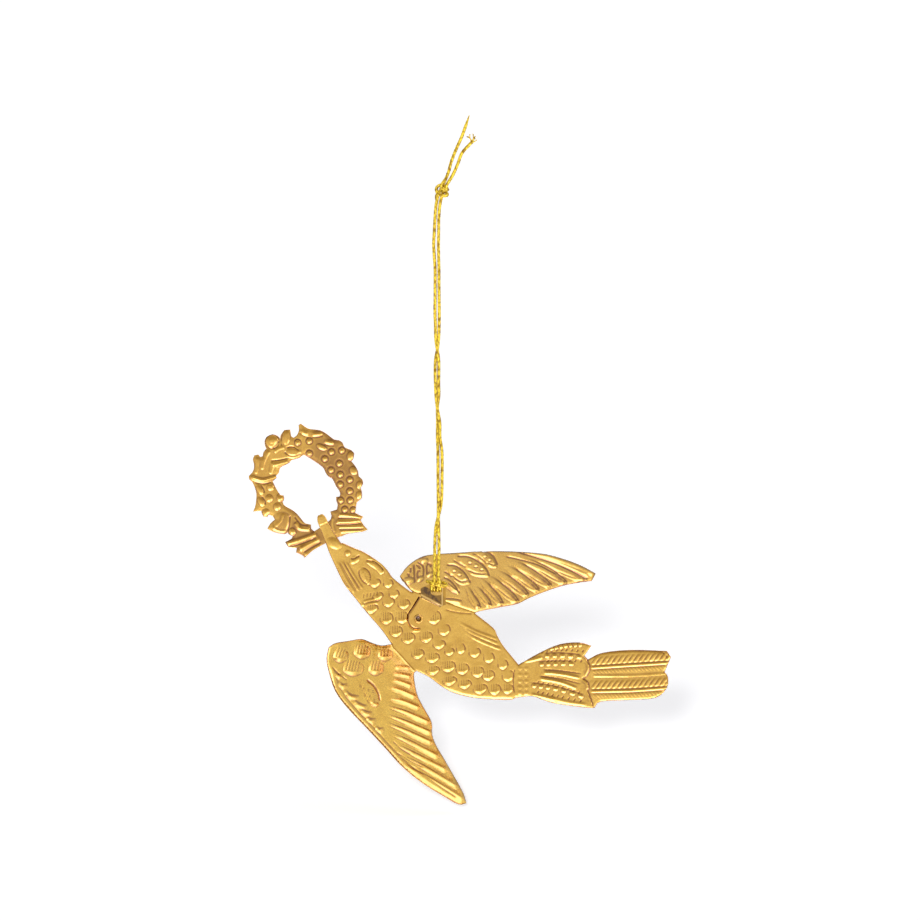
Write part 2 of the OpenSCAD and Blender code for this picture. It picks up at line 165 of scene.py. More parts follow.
def curve(points, n=8):
    """A smooth line through given points."""
    p = np.array(points, float)
    if len(p) < 3:
        return p
    e = np.vstack([2 * p[0] - p[1], p, 2 * p[-1] - p[-2]])
    out = []
    for i in range(len(p) - 1):
        a, b, c, d = e[i:i + 4]
        for t in np.arange(n) / n:
            out.append(0.5 * (2 * b + (c - a) * t + (2 * a - 5 * b + 4 * c - d) * t ** 2
                              + (3 * b - a - 3 * c + d) * t ** 3))
    return np.array(out + [p[-1]])


def point_on(q, share):
    return q[int(share * (len(q) - 1))]


# Corners that turn by more degrees than this stay sharp
SHARP = 48


def rounded(points, closed=False, n=3):
    """A smooth outline through the points, which keeps its corners of more than SHARP degrees."""
    p = points + points[:1] if closed else points
    corners = [0]
    for i in range(1, len(p) - 1):
        a, b, c = (np.array(q) for q in p[i - 1:i + 2])
        (ax, ay), (bx, by) = b - a, c - b
        if abs(math.degrees(math.atan2(ax * by - ay * bx, ax * bx + ay * by))) > SHARP:
            corners.append(i)
    corners.append(len(p) - 1)
    out = []
    for a, b in zip(corners[:-1], corners[1:]):
        out += [tuple(q) for q in curve(p[a:b + 1], n)[:-1].tolist()]
    return out if closed else out + [p[-1]]


NEAR, FAR, BACK, TAIL, BELLY = (rounded(line) for line in (NEAR, FAR, BACK, TAIL, BELLY))
BIRD = (rounded(HEAD_UP) + FAR[1:] + BACK[1:] + TAIL[1:] + BELLY[-2::-1] + NEAR[-2::-1]
        + rounded(HEAD_LOW)[-2::-1] + STRAP)
WREATH_OUT, WREATH_IN = (rounded(line, True, 2) for line in (WREATH_OUT, WREATH_IN))


def dense(poly, step, closed=True):
    """The points of an outline or line, with more between them, about a step apart."""
    out = []
    ends = list(poly[1:]) + ([poly[0]] if closed else [])
    for a, b in zip(poly, ends):
        a, b = np.array(a, float), np.array(b, float)
        n = max(1, int(round(np.hypot(*(b - a)) / step)))
        out += [a + (b - a) * k / n for k in range(n)]
    return out if closed else out + [np.array(poly[-1], float)]


def gap_to(x, y, points):
    """The distance from each place to the nearest of the points."""
    gap = np.full(len(x), np.inf)
    for px, py in points:
        gap = np.minimum(gap, np.hypot(x - px, y - py))
    return gap


def waves(x, y, pitch, seed):
    """Smooth random values from -1 to 1, pitch pixels apart."""
    side = 64
    table = np.random.RandomState(seed).uniform(-1, 1, (side, side))
    a, b = x / pitch, y / pitch
    i, j = np.floor(a).astype(int), np.floor(b).astype(int)
    u, v = smooth(a - i, 0, 1), smooth(b - j, 0, 1)
    t = [table[(i + k) % side, (j + m) % side] for k in (0, 1) for m in (0, 1)]
    return (t[0] * (1 - u) + t[2] * u) * (1 - v) + (t[1] * (1 - u) + t[3] * u) * v


class Relief:
    """Heights in millimetres, and tarnish and painted shade, at places of a sheet in pixels, made up of
    marks.
    """

    def __init__(self, x, y):
        self.x = x
        self.y = y
        self.h = np.zeros(len(x))
        self.tarnish_and_shade = np.zeros(len(x))

    def near(self, x0, y0, x1, y1):
        return np.nonzero((self.x > x0) & (self.x < x1) & (self.y > y0) & (self.y < y1))[0]

    def turned(self, cx, cy, reach, degrees):
        """Places about a centre: their index, and where they are on axes turned by so many degrees."""
        i = self.near(cx - reach, cy - reach, cx + reach, cy + reach)
        c, s = math.cos(math.radians(degrees)), math.sin(math.radians(degrees))
        dx, dy = self.x[i] - cx, self.y[i] - cy
        return i, c * dx + s * dy, c * dy - s * dx

    def along(self, line, reach):
        """Places near a line: their index, distance, share of the line's length and signed side."""
        q = curve(line)
        i = self.near(*(q.min(0) - reach), *(q.max(0) + reach))
        x, y = self.x[i], self.y[i]
        best, share, side = np.full(len(i), np.inf), np.zeros(len(i)), np.zeros(len(i))
        steps = np.hypot(*np.diff(q, axis=0).T)
        total, run = steps.sum(), 0.0
        for (ax, ay), (bx, by), s in zip(q[:-1], q[1:], steps):
            t = np.clip(((x - ax) * (bx - ax) + (y - ay) * (by - ay)) / (s * s), 0, 1)
            d = np.hypot(x - ax - t * (bx - ax), y - ay - t * (by - ay))
            less = d < best
            best[less] = d[less]
            share[less] = (run + t[less] * s) / total
            side[less] = np.sign((bx - ax) * (y - ay) - (by - ay) * (x - ax))[less]
            run += s
        keep = best < reach
        return i[keep], best[keep], share[keep], side[keep]

    def ridge(self, line, w, h, fade=(0.12, 0.12)):
        """A rounded ridge, or a groove where h is negative."""
        i, d, t, _ = self.along(line, 3 * w)
        self.h[i] += h * hump(d, w) * faded(t, fade)

    def stain(self, line, w, amount, fade=(0.3, 0.02)):
        """Tarnish along a line, from 0 for bright metal to 1."""
        i, d, t, _ = self.along(line, 2.2 * w)
        self.tarnish_and_shade[i] += amount * hump(d, w) * faded(t, fade)

    def stained(self, line, w, h, stain_w, amount, fade):
        self.ridge(line, w, h, fade)
        self.stain(line, stain_w, amount, fade)

    def streak(self, line, w, h):
        """A tapered fold along a line: steep on its upper side, a flat facet on its lower one."""
        i, d, t, s = self.along(line, w)
        u = d * s / (w * (0.12 + 0.88 * smooth(t, 0.05, 0.6)))
        crest = -0.4
        form = np.where(u < crest, smooth(u, -1, crest), np.clip((1 - u) / (1 - crest), 0, 1))
        self.h[i] += h * form * smooth(t, 0, 0.4) * smooth(1 - t, -0.001, 0.07)

    def dome(self, cx, cy, rx, ry, h, turn=0, power=1):
        i, u, v = self.turned(cx, cy, 1.05 * max(rx, ry), turn)
        self.h[i] += h * np.clip(1 - (u / rx) ** 2 - (v / ry) ** 2, 0, 1) ** power

    def scale(self, cx, cy, w, long, h, turn, comb, pitch=2.3, arc=0.12):
        """A feather scale: at its centre a crescent facet that faces down, and above it a gentle back.

        Comb lines, pitch pixels apart, are as deep as comb, and the grooves round its shoulders as arc.
        """
        i, u, v = self.turned(cx, cy, 1.5 * long + w, turn)
        half = w / 2 + 0.7
        q = np.abs(u) / half
        facet = 2.9
        deep = facet * np.clip(1 - q ** 2.4, 0, 1)
        foot = 1.4 - 0.72 * min(half, 5.5) * np.clip(q, 0, 1.3) ** 2
        up = np.clip(foot - v, 0, deep)
        back = np.clip(1 - (foot - deep - v) / (1.4 * long), 0, 1) ** 1.2
        self.h[i] += h / facet * np.where(foot - v < deep, up, deep * back)
        self.h[i] -= 0.05 * hump(v - foot - 0.8, 0.8) * np.clip(1 - q ** 2, 0, 1)
        if comb:
            mask = smooth(v, -long - 1.5, -long + 1.5) * (1 - smooth(v, -3.6, -2.6))
            mask *= 1 - smooth(q, 0.6, 0.95)
            self.h[i] -= comb * mask * (0.5 - 0.5 * np.cos(2 * math.pi * (u + 0.14 * v) / pitch)) ** 2
        c, s = math.cos(math.radians(turn)), math.sin(math.radians(turn))
        right = ((0.3 * half, -long), (half, -0.72 * long), (half + 0.9, -0.34 * long), (0.96 * half, -0.6))
        left = ((-0.92 * half, -0.62 * long), (-half - 0.5, -0.34 * long), (-0.9 * half, -0.6))
        for shoulder, line_w, depth in ((right, 0.65, arc), (left, 0.6, 0.4 * arc)):
            line = [(cx + c * a - s * b, cy + s * a + c * b) for a, b in shoulder]
            self.ridge(line, line_w, -depth, (0.3, 0.3))

    def feather(self, line, half, h, barbs=0.0, pitch=3.2, ends=(0.1, 0.06), base=0.0, flat=2.6):
        """A long feather on its centre line: rounded across, over what is there, with slanting barbs."""
        i, d, t, _ = self.along(line, 1.15 * half)
        width = half * (0.45 + 0.55 * smooth(t, 0, 0.35))
        width = width * np.sqrt(np.clip(1 - np.clip((t - 1 + ends[1]) / ends[1], 0, 1) ** 2, 0.02, 1))
        r = np.clip(d / width, 0, 1.2)
        out = base + h * np.clip(1 - r ** flat, 0, 1) * smooth(t, 0, ends[0])
        if barbs:
            length = np.hypot(*np.diff(curve(line), axis=0).T).sum()
            slant = np.sin(2 * math.pi * (t * length - d) / pitch)
            out += barbs * slant * smooth(r, 0.12, 0.35) * (1 - smooth(r, 0.85, 1.02))
        wins = r < 1.02
        self.h[i[wins]] = np.maximum(self.h[i[wins]], out[wins])


# Marks of the head: domes are centre, radii, height and turn; ridges are line, width, height and fade
HEAD_DOMES = (
    (334.5, 543.5, 8.5, 5.5, 0.32, 24), (347.6, 553.2, 2.8, 2.9, 0.26),
    (354.6, 559.8, 5.2, 3.6, 0.24, -18), (353.2, 562.4, 3.6, 1.9, 0.12, -8))
EYELID = [(350.6, 558.6), (354.6, 558.4), (359.8, 555)]
THROAT_FOLDS = (
    [(333, 563), (338.6, 576), (349, 591)], [(336.8, 561), (344, 576), (355, 594)],
    [(341, 560.5), (348.4, 574), (359, 592)], [(345, 561), (352.4, 574), (363, 590)])
CROWN_FEATHER = [(366, 561.4), (375, 565.4), (383, 573)]
CHEEK_FEATHER = [(362.5, 567.5), (365, 575), (369, 584)]
HEAD_RIDGES = (
    ([(365.4, 560.4), (374, 561.6), (381, 567), (384, 572)], 0.7, -0.2),
    ([(359.4, 568), (359, 574), (362.4, 580.6), (368.6, 584.6)], 0.65, -0.16, (0.2, 0.2)),
    ([(361.6, 567), (367, 569.6), (370.2, 575), (369.4, 583.6)], 0.65, -0.12, (0.2, 0.2)),
    ([(362.6, 571), (364.4, 577), (367.6, 581.6)], 0.7, 0.12, (0.2, 0.2)),
    ([(362.7, 602.5), (368, 600.5), (380, 598)], 0.9, 0.15),
    ([(364, 606), (370, 603.6), (379, 602.6)], 0.9, 0.13), ([(359, 607), (364, 604)], 1, 0.14))

# The first of the strokes below the cheek, and how far its two ends move from stroke to stroke
FIRST_STROKE = ((364, 593.4), (363.4, 598.4))
STROKE_STEPS = ((3.4, -0.6), (3.4, -0.8))


def head(r):
    for mark in HEAD_DOMES:
        r.dome(*mark)
    r.ridge(EYELID, 0.7, -0.22)
    r.stain(EYELID, 0.8, 0.8)
    for line in THROAT_FOLDS:
        r.ridge(line, 0.8, 0.18)
        r.stain(moved(line, -1.2, -0.6), 0.7, 0.5)
    r.feather(CROWN_FEATHER, 3, 0.2)
    r.feather(CHEEK_FEATHER, 4.6, 0.18, barbs=0.035, pitch=3, ends=(0.2, 0.5))
    for mark in HEAD_RIDGES:
        r.ridge(*mark)
    for k in range(5):
        stroke = [(x + dx * k, y + dy * k) for (x, y), (dx, dy) in zip(FIRST_STROKE, STROKE_STEPS)]
        r.ridge(stroke, 0.6, -0.1, (0.2, 0.2))


# Scales of the body: centre, width, length and the depth of the comb
BODY_SCALES = (
    (375, 586, 8, 8, 0), (388.5, 586.5, 6, 8, 0), (394.3, 597, 6.5, 8, 0), (378, 598.5, 7, 7, 0.06),
    (388.7, 605.6, 8.5, 9, 0), (404.2, 607.6, 8.5, 9, 0.08), (371.5, 612, 10, 8, 0.08),
    (386.8, 622.8, 9.5, 11, 0.12), (402.5, 622, 9.5, 11, 0.12), (396.2, 635.4, 9.5, 10, 0.12),
    (408.5, 642, 10, 10, 0.12), (426.5, 641, 9, 10, 0.1), (434.5, 622.6, 10, 13, 0.12),
    (444.5, 634.2, 8.5, 11, 0), (439.3, 647.6, 9, 8, 0), (449.6, 654.2, 6, 7, 0), (461, 652.4, 5.5, 10, 0),
    (475, 656, 8, 9, 0), (489.3, 661.6, 7, 10, 0), (503.2, 668, 6.5, 9, 0), (508.2, 680.2, 8, 11, 0),
    (418, 657.4, 9, 9, 0.1), (432.6, 661.4, 10.5, 9, 0.1), (448.6, 670.6, 10.5, 10, 0.12),
    (462.8, 673, 9.5, 10, 0.1), (478, 676, 9, 10, 0.1), (488.6, 679.4, 9, 10, 0.1),
    (433, 673.6, 10, 8, 0.1), (449.8, 684, 10.5, 8, 0.1), (465, 687.4, 9.5, 8, 0.1),
    (480.5, 692.5, 10.5, 9, 0.1), (495, 693.5, 8.5, 10, 0.1), (508, 692.6, 8, 9, 0.1))
BACK_FOLDS = (
    [(455, 620.6), (466, 626.5), (478, 632.4), (499, 640)],
    [(463, 631), (474, 638), (488, 644.5), (503, 650)],
    [(461, 625.5), (472, 633), (486, 638.8), (500, 644.8)])
BACK_CREASE = [(444, 609), (457, 612.4), (473.5, 613.8)]
# A groove along the bracket's ear, darkened as a hollow: painted shadow of the ear on the sheet
EAR_SHADOW_GROOVE = [
    (420.6, 596), (413.8, 606.6), (409.2, 613.6), (408, 620), (410.4, 625.8), (416, 628.4), (422, 627.4)]
EAR_RISE = [(412, 629.6), (416.6, 630.8), (421, 629.8)]


def body(r):
    for cx, cy, w, long, comb in BODY_SCALES:
        r.scale(cx, cy, w + 1, long, 0.31, -8, comb)
    for line in BACK_FOLDS:
        r.ridge(line, 1.2, 0.15, (0.3, 0.1))
    r.ridge(BACK_CREASE, 0.8, -0.1)
    # The sheet has a groove and a rise along the bracket's ear; the groove's dark hollow tone is painted
    # shadow of the ear on the sheet
    r.ridge(EAR_SHADOW_GROOVE, 0.9, -0.26, (0.05, 0.1))
    r.ridge(EAR_RISE, 1.2, 0.16, (0.2, 0.2))


# The tail's fan and its scalloped end, which lies over the long feathers
FAN_END = [
    (584.4, 655.7), (587.5, 661), (589.8, 668), (586.5, 676), (583, 678.2), (587.5, 682), (589, 688),
    (587.5, 690.5), (590.5, 698), (594, 709)]
FAN = ([(515.5, 700), (515.5, 664), (541, 651), (560, 643), (579, 641), (593, 644)] + FAN_END
       + [(579, 708), (553.8, 704), (532, 698)])
FAN_RIDGES = (
    ([(515, 668), (513.2, 680), (514.5, 694)], 0.9, -0.14),
    ([(522, 661.5), (534, 659.4), (543, 656.6)], 1.4, 0.24),
    ([(541.7, 672.2), (560, 673.8), (581.7, 678)], 1.2, 0.22),
    ([(538, 678), (560, 682), (578.3, 688.8)], 1.2, 0.22),
    ([(530, 694.4), (543, 696.4), (556, 700)], 1.2, 0.18),
    ([(548, 697), (568, 702), (588, 704.6)], 1.3, 0.16))
FAN_GAPS = ([(541, 669), (560, 670.4), (583, 673.6)], [(538, 675.4), (560, 678.4), (582, 684)])
# Rows of dashes: line, number and how far each dash leans
FAN_DASHES = (
    ([(550, 648.8), (566, 645.6), (583, 644.6)], 7, -1.3),
    ([(544, 656), (563, 655.6), (584, 657.4)], 5, 0.6),
    ([(539, 664.3), (556, 663.6), (576, 663.8)], 5, 0.6),
    ([(531, 685.2), (556, 688.8), (586, 697.4)], 7, 0.6))
# Rows of short strokes between them: line and number
FAN_STROKES = (
    ([(540, 652), (562, 649.6), (586, 651)], 9), ([(546, 660.4), (562, 659.8), (584, 661)], 8),
    ([(536, 681.4), (558, 685.4), (582, 693)], 9), ([(536, 691), (558, 695.6), (584, 701.4)], 9))
FAN_STAINS = (
    [(586, 660), (587.6, 668), (584.6, 675.4)], [(581, 679), (586.4, 684), (587, 690)],
    [(588, 694), (591, 702)])

# The fan rises and darkens from its root between these columns, and small domes stand on its root
FAN_RISES = (516, 545)
FAN_DARKENS = (520, 545)
ROOT_ROWS = (668.5, 675, 681.5, 687.5, 693)
ROOT_COLUMNS = (520, 526.2)


def fan(r):
    on_fan = inside(np.stack([r.x, r.y], 1), FAN)
    i, d, _, _ = r.along(FAN_END, 5)
    lift = on_fan.astype(float)
    lift[i] *= smooth(d, 0, 1.1)
    r.h += 0.34 * lift * smooth(r.x, *FAN_RISES)
    r.tarnish_and_shade += 0.1 * on_fan * smooth(r.x, *FAN_DARKENS) * (0.7 + 0.6 * waves(r.x, r.y, 5, SEED + 5))
    for mark in FAN_RIDGES:
        r.ridge(*mark)
    for y in ROOT_ROWS:
        for x in ROOT_COLUMNS:
            r.dome(x, y, 2.7, 2, 0.12)
    for line, n, lean in FAN_DASHES:
        q = curve(line, 40)
        for k in range(n):
            start, end = point_on(q, (k + 0.12) / n), point_on(q, (k + 0.8) / n)
            r.ridge([start - (0, lean / 2), (start + end) / 2, end + (0, lean / 2)], 1.3, 0.27, (0.3, 0.3))
        r.ridge(moved(line, -2, -3.2), 0.7, -0.08)
        r.stain(moved(line, -2, -3.4), 1.6, 0.4, (0.2, 0.2))
    for line in FAN_GAPS:
        r.ridge(line, 0.7, -0.1)
        r.stain(line, 1.4, 0.4, (0.2, 0.2))
    for line in FAN_STAINS:
        r.stain(line, 2, 0.8, (0.2, 0.2))
    for line, n in FAN_STROKES:
        q = curve(line, 40)
        for k in range(n):
            x, y = point_on(q, (k + 0.5) / n)
            r.stained([(x - 1.2, y + 1.6), (x + 1.2, y - 1.6)], 0.6, -0.14, 0.7, 0.35, (0.3, 0.3))
    return on_fan


TAIL_QUILLS = ([(592, 667.6), (636, 664.8), (667, 662.8)], [(592, 691.4), (630, 690.5), (667, 688)])
TAIL_RIDGES = (
    ([(592, 675.8), (620, 676), (645, 675.2), (667, 673.4)], 1.2, 0.16, (0.05, 0.02)),
    ([(592, 657.6), (603, 653), (630, 650.9), (660, 651.8), (668.6, 658)], 0.8, -0.12, (0.05, 0.02)))

# The long tail's first column, how far it reaches up and down from a quill, and its barbs' reach and pitch
TAIL_START = 588
TAIL_UP = -13
TAIL_DOWN = 11.5
BARB_REACH = (14.5, 10.5)
BARB_PITCH = (5.3, -3.7)


def long_tail(r, on_fan):
    """The long tail feathers: herringbone barbs above and below their quills."""
    for quill in TAIL_QUILLS:
        d = r.y - np.interp(r.x, *curve(quill, 12).T)
        above = d < 0
        reach = np.where(above, *BARB_REACH)
        # Each barb rises steeply on its upper side and falls gently on its lower one
        turns = (r.x + np.where(above, 0.7, -0.9) * d) / np.where(above, *BARB_PITCH)
        u = np.mod(turns, 1)
        steep = 0.34
        barb = np.where(u < steep, smooth(u, 0, steep), (1 - u) / (1 - steep)) * np.where(above, 1.15, 0.8)
        row = smooth(np.abs(d), 2, 4.4) * (1 - smooth(np.abs(d), reach - 6.4, reach - 2.8))
        h = 0.1 * np.clip(1 - np.abs(d / reach) ** 3, 0, 1) + 0.15 * barb * row
        h += 0.16 * hump(d, 1) - 0.06 * hump(np.abs(d) - 2, 0.8)
        on_tail = (r.x > TAIL_START) & ~on_fan & (d > TAIL_UP) & (d < TAIL_DOWN)
        r.h += h * smooth(r.x, TAIL_START + 1, TAIL_START + 6) * on_tail
    for mark in TAIL_RIDGES:
        r.ridge(*mark)


# Marks of the near wing: scales are centre, width, length and turn; feathers are line, half width and fold
NEAR_SCALES = (
    (339, 661, 12, 13, 12), (361, 657.4, 14, 13, 5), (384.6, 659.6, 12.5, 11, 0), (352, 674.4, 18, 14, 6),
    (375, 673.8, 12.5, 13, 4))
NEAR_FEATHERS = (
    ([(391, 668.6), (400, 667.8), (409, 668.4)], 2.4, 0.19),
    ([(389, 674.4), (400, 675), (410, 677)], 2.6, 0.19),
    ([(387, 679.6), (399, 682), (411, 686.6)], 3, 0.19),
    ([(383, 686), (399, 690.6), (415, 697.4)], 3.4, 0.19),
    ([(384, 697.4), (401, 701.4), (419, 708.4)], 3.6, 0.19),
    ([(381, 704.6), (404, 712.4), (428.5, 723)], 3.9, 0.19),
    ([(380, 712.6), (404, 722), (431, 733.6)], 3.7, 0.19),
    ([(380, 720.8), (404, 731), (432, 743.6)], 3.9, 0.19),
    ([(383, 730.6), (409, 742.4), (438, 757.4)], 4.1, 0.15),
    ([(386, 740.4), (414, 754.6), (447, 771.4)], 4.2, 0.15),
    ([(390, 751), (420, 766), (458, 788)], 4.3, 0.15),
    ([(397, 762.5), (425, 777), (463.5, 800)], 3.8, 0.15))
LEADING_EDGE = [
    (331, 664), (336.6, 690), (349.6, 706.6), (368, 726), (387.6, 747), (406, 765.6), (428, 781.6),
    (456, 800)]
NEAR_RIDGES = (
    ([(331, 666), (339, 674.4), (348, 681)], 0.9, -0.1), ([(392, 741), (400, 748), (411, 755)], 0.9, -0.1),
    ([(396, 752), (408, 760), (424, 768)], 0.9, -0.1), (LEADING_EDGE, 1.4, 0.1, (0.05, 0.02)),
    ([(334, 668), (340, 688), (353, 706), (371, 725), (390, 746), (409, 764.6), (431, 780.6), (457, 798)],
     1, -0.07, (0.05, 0.02)))
SCALLOPS = (
    [(334, 673), (338, 677), (343, 676)], [(337, 683), (342, 687), (348, 686)],
    [(344, 692), (350, 697), (360, 699)], [(353, 702), (359, 706), (368, 709)],
    [(360, 711), (366, 714), (373, 715)], [(366, 718.5), (370, 721.5), (376, 721)],
    [(375, 728), (379, 731), (384, 730)])
LEAF = [(362, 680), (369, 692), (376, 706)]
LEAF_SIDE = [(366, 679), (373.5, 685.4), (378.4, 694), (380, 702)]
LEAF_TIP = [(370, 702), (374, 704.8), (379, 704.8)]
LEAF_SPECKS = (
    (359, 684), (363, 687), (367.5, 688.5), (364, 693), (369, 695), (372, 690), (373, 698), (367, 700))


def near_wing(r):
    for cx, cy, w, long, turn in NEAR_SCALES:
        r.scale(cx, cy, w + 0.6, long, 0.36, turn, 0.1, 2.8, 0.06)
    for line, half, fold in reversed(NEAR_FEATHERS):
        r.feather(line, half, 0.1, ends=(0.45, 0.05))
        r.streak(line, 0.5 * half, fold)
    for line, half, _ in NEAR_FEATHERS[5:]:
        root, middle, tip = np.array(line, float)
        way = tip - root
        across = np.array([way[1], -way[0]]) / np.hypot(*way) * half
        start = (root + middle) / 2 - 0.3 * (middle - root)
        for share in (-0.55, 0.0, 0.55):
            fine = beside((start, middle, (middle + tip) / 2), across * share, (0.7, 1, 1))
            r.stained(fine, 0.55, -0.05, 0.5, 0.5, (0.3, 0.5))
    for line in SCALLOPS:
        r.ridge(line, 1.6, 0.22, (0.3, 0.3))
        r.stain(moved(line, 0.5, -2.6), 0.9, 0.7, (0.2, 0.2))
    r.feather(LEAF, 5.6, 0.1, barbs=0.04, pitch=2.8, ends=(0.2, 0.35))
    r.ridge(LEAF_SIDE, 0.8, -0.2)
    r.stain(LEAF_SIDE, 1.0, 0.9, (0.1, 0.1))
    r.ridge(LEAF_TIP, 1.4, 0.2, (0.3, 0.3))
    for x, y in LEAF_SPECKS:
        r.stain([(x, y), (x + 0.8, y + 2), (x + 1, y + 4)], 0.8, 0.8, (0.2, 0.2))
    for mark in NEAR_RIDGES:
        r.ridge(*mark)


# Marks of the far wing: long lobes and leaf-shaped coverts are line and half width
LOBES = (
    ([(466, 586), (472, 597), (479.6, 608)], 2.6), ([(474, 586), (482, 595.6), (490.6, 606)], 2.9),
    ([(479, 578.4), (490, 590.6), (502.4, 604.6)], 3.3), ([(485, 575), (501, 588), (518, 602)], 3.7),
    ([(494, 570.6), (511, 582), (527.8, 595.6)], 3.7), ([(502, 565), (520, 577), (538.4, 590.8)], 3.7),
    ([(508, 560.4), (528, 571.4), (550.6, 586.4)], 3.8),
    ([(518, 558.6), (541, 568.4), (566.4, 583.4)], 3.8), ([(528, 556.6), (556, 568), (586, 580.4)], 3.4))
EDGE_LINE = [(516, 551.8), (538, 558), (561, 567), (583, 577), (591, 579.6)]
EDGE_INNER_LINE = [(504, 556.5), (517, 559), (538, 565.5), (558, 576)]
COVERTS = (
    ([(474, 553.6), (484, 557.6), (494, 565)], 5.4), ([(456, 558.6), (471, 564.6), (487, 575)], 6.6),
    ([(446, 567.6), (457, 573), (468.6, 582)], 6), ([(442, 579.6), (449.6, 584.6), (457.6, 592)], 4.6))
COVERT_TOPS = (
    [(456, 556.4), (468, 556.8), (479, 562), (486, 569), (489.4, 576)],
    [(446, 565), (454.4, 565.5), (461.6, 570), (467, 576.4), (470.4, 582.6)],
    [(443.5, 577), (450, 581), (455, 586.4), (459.4, 593.4)],
    [(481, 551.8), (488, 552.3), (493.5, 556.4), (497.6, 565)])
COVERT_FEET = (
    [(468, 571.8), (474.4, 575), (481.6, 576.6), (489, 576.4)],
    [(451.6, 576.4), (456, 581), (462.5, 584.2), (470, 583)], [(448, 585), (453.4, 590), (459, 594)],
    [(487, 565), (491.6, 567), (496.6, 567)])
COVERT_GRAINS = (
    (469.8, 562.7), (475.7, 566.2), (481.6, 569.3), (454, 571), (459.4, 574.7), (465.3, 579.5),
    (484.6, 556.6), (489.4, 560))
FAR_RIDGES = (
    ([(524, 553.4), (547, 557), (572, 565.6), (594, 575)], 2.4, 0.3, (0.3, 0.03)),
    ([(545, 561.6), (566, 568), (588, 576)], 1.6, 0.2, (0.3, 0.05)),
    ([(453, 560), (459, 563.6), (466, 568)], 0.7, -0.16),
    ([(444, 571.4), (449, 574.6), (452, 577.4)], 0.7, -0.16),
    ([(471.6, 553), (476, 555.5), (483.5, 561), (487, 565.5)], 0.7, -0.16),
    ([(443, 601), (453, 601.6), (463, 603)], 1.7, 0.2, (0.1, 0.25)),
    ([(444, 598.4), (454, 599), (463, 601)], 0.8, -0.1))
# Ripples at the far wing's root: grooves are line and width, and lenses are centre, radii, height and turn
ROOT_GROOVES = (
    ([(416.5, 562.4), (420.5, 563.8), (423, 567), (423.8, 571.5), (423, 577)], 0.8),
    ([(416, 565), (418.6, 566.6), (420.4, 569.4)], 0.9),
    ([(420, 570), (417.8, 572), (417.2, 575), (417.8, 579)], 1.1),
    ([(413.6, 563.4), (414.4, 572), (414.6, 584)], 0.9),
    ([(426.4, 564.6), (426.2, 569), (427, 573), (428, 575.6)], 1.2),
    ([(426.4, 564.6), (429.4, 564), (432, 567)], 1.3), ([(410.6, 567.4), (410.8, 570), (410.4, 573)], 0.8),
    ([(407, 573.4), (408.8, 575), (408.6, 577)], 0.8))
ROOT_RIDGES = (
    [(418.6, 564.4), (421.6, 567.6), (422, 572), (421, 577)], [(425.4, 564), (425.6, 569), (425.4, 576)],
    [(412.4, 568), (412.4, 573), (412.8, 578)], [(430, 567), (431, 571), (429.6, 573.6)])
ROOT_TOP = [(419.6, 562), (424, 560.9), (428, 560)]
ROOT_STAINS = (
    ([(417, 560.4), (422, 558), (427, 555.8)], 0.8, 0.9, (0.2, 0.2)),
    ([(404, 572), (416, 568), (430, 570)], 9, 0.3, (0.2, 0.2)))
ROOT_LENSES = (
    (408.4, 581, 6.2, 3.4, 0.4, -12), (419.9, 579.4, 4.2, 2.2, 0.4, -35), (429.6, 575, 4, 2.2, 0.4, -25))


def lobe(r, line, half):
    """A lobe's dark upper edge, bright lower edge, brown middle and hollow tip."""
    root, middle, tip = np.array(line, float)
    way = (tip - middle) / np.hypot(*(tip - middle))
    across = np.array([way[1], -way[0]]) * half
    points = ((root + middle) / 2, middle, (middle + tip) / 2, tip)
    r.ridge(beside(points, across, (0.85, 1.08, 1.05, 0.4)), 0.7, -0.24, (0.4, 0.02))
    r.ridge(beside(points, -across, (1.0, 1.2, 1.2, 0.85)), 0.75, 0.16, (0.4, 0.1))
    inner = beside((points[0], middle, tip), across, (0.25, 0.3, 0.1))
    r.stain(inner, 0.75 * half, 0.75, (0.5, 0.02))
    r.stain([points[2], tip], 0.6 * half, 0.6, (0.5, 0.02))
    r.dome(*(tip - 1.8 * way), 2.8, 1.7, -0.16, math.degrees(math.atan2(way[1], way[0])))


def far_wing(r):
    for line, half in reversed(LOBES):
        r.feather(line, half, 0.26, ends=(0.45, 0.1), flat=3.6)
    for line, half in LOBES:
        lobe(r, line, half)
    r.stained(EDGE_LINE, 0.9, -0.24, 1.0, 0.9, (0.1, 0.1))
    r.stained(EDGE_INNER_LINE, 0.8, -0.18, 0.9, 0.7, (0.1, 0.1))
    for line, half in COVERTS:
        r.feather(line, half, 0.22, ends=(0.15, 0.3), base=0.02)
        r.stain(line, 0.8 * half, 0.2, (0.2, 0.2))
    for line in COVERT_TOPS:
        r.stained(line, 0.8, -0.26, 0.8, 0.9, (0.1, 0.02))
    for line in COVERT_FEET:
        r.ridge(line, 1.1, 0.2, (0.2, 0.05))
        r.ridge(moved(line, -0.8, -2), 0.7, -0.12)
    for cx, cy in COVERT_GRAINS:
        r.dome(cx, cy, 2.3, 1.3, 0.16)
        r.ridge([(cx - 2.4, cy + 1.6), (cx, cy + 2.2), (cx + 2.4, cy + 1.6)], 0.6, -0.07)
    for mark in FAR_RIDGES:
        r.ridge(*mark)
    for line, w in ROOT_GROOVES:
        r.stained(line, w, -0.18, 1.3 * w, 0.9, (0.15, 0.15))
    for line in ROOT_RIDGES:
        r.ridge(line, 0.9, 0.13, (0.2, 0.2))
    r.ridge(ROOT_TOP, 1.7, 0.3, (0.3, 0.3))
    for mark in ROOT_STAINS:
        r.stain(*mark)
    for mark in ROOT_LENSES:
        r.dome(*mark)


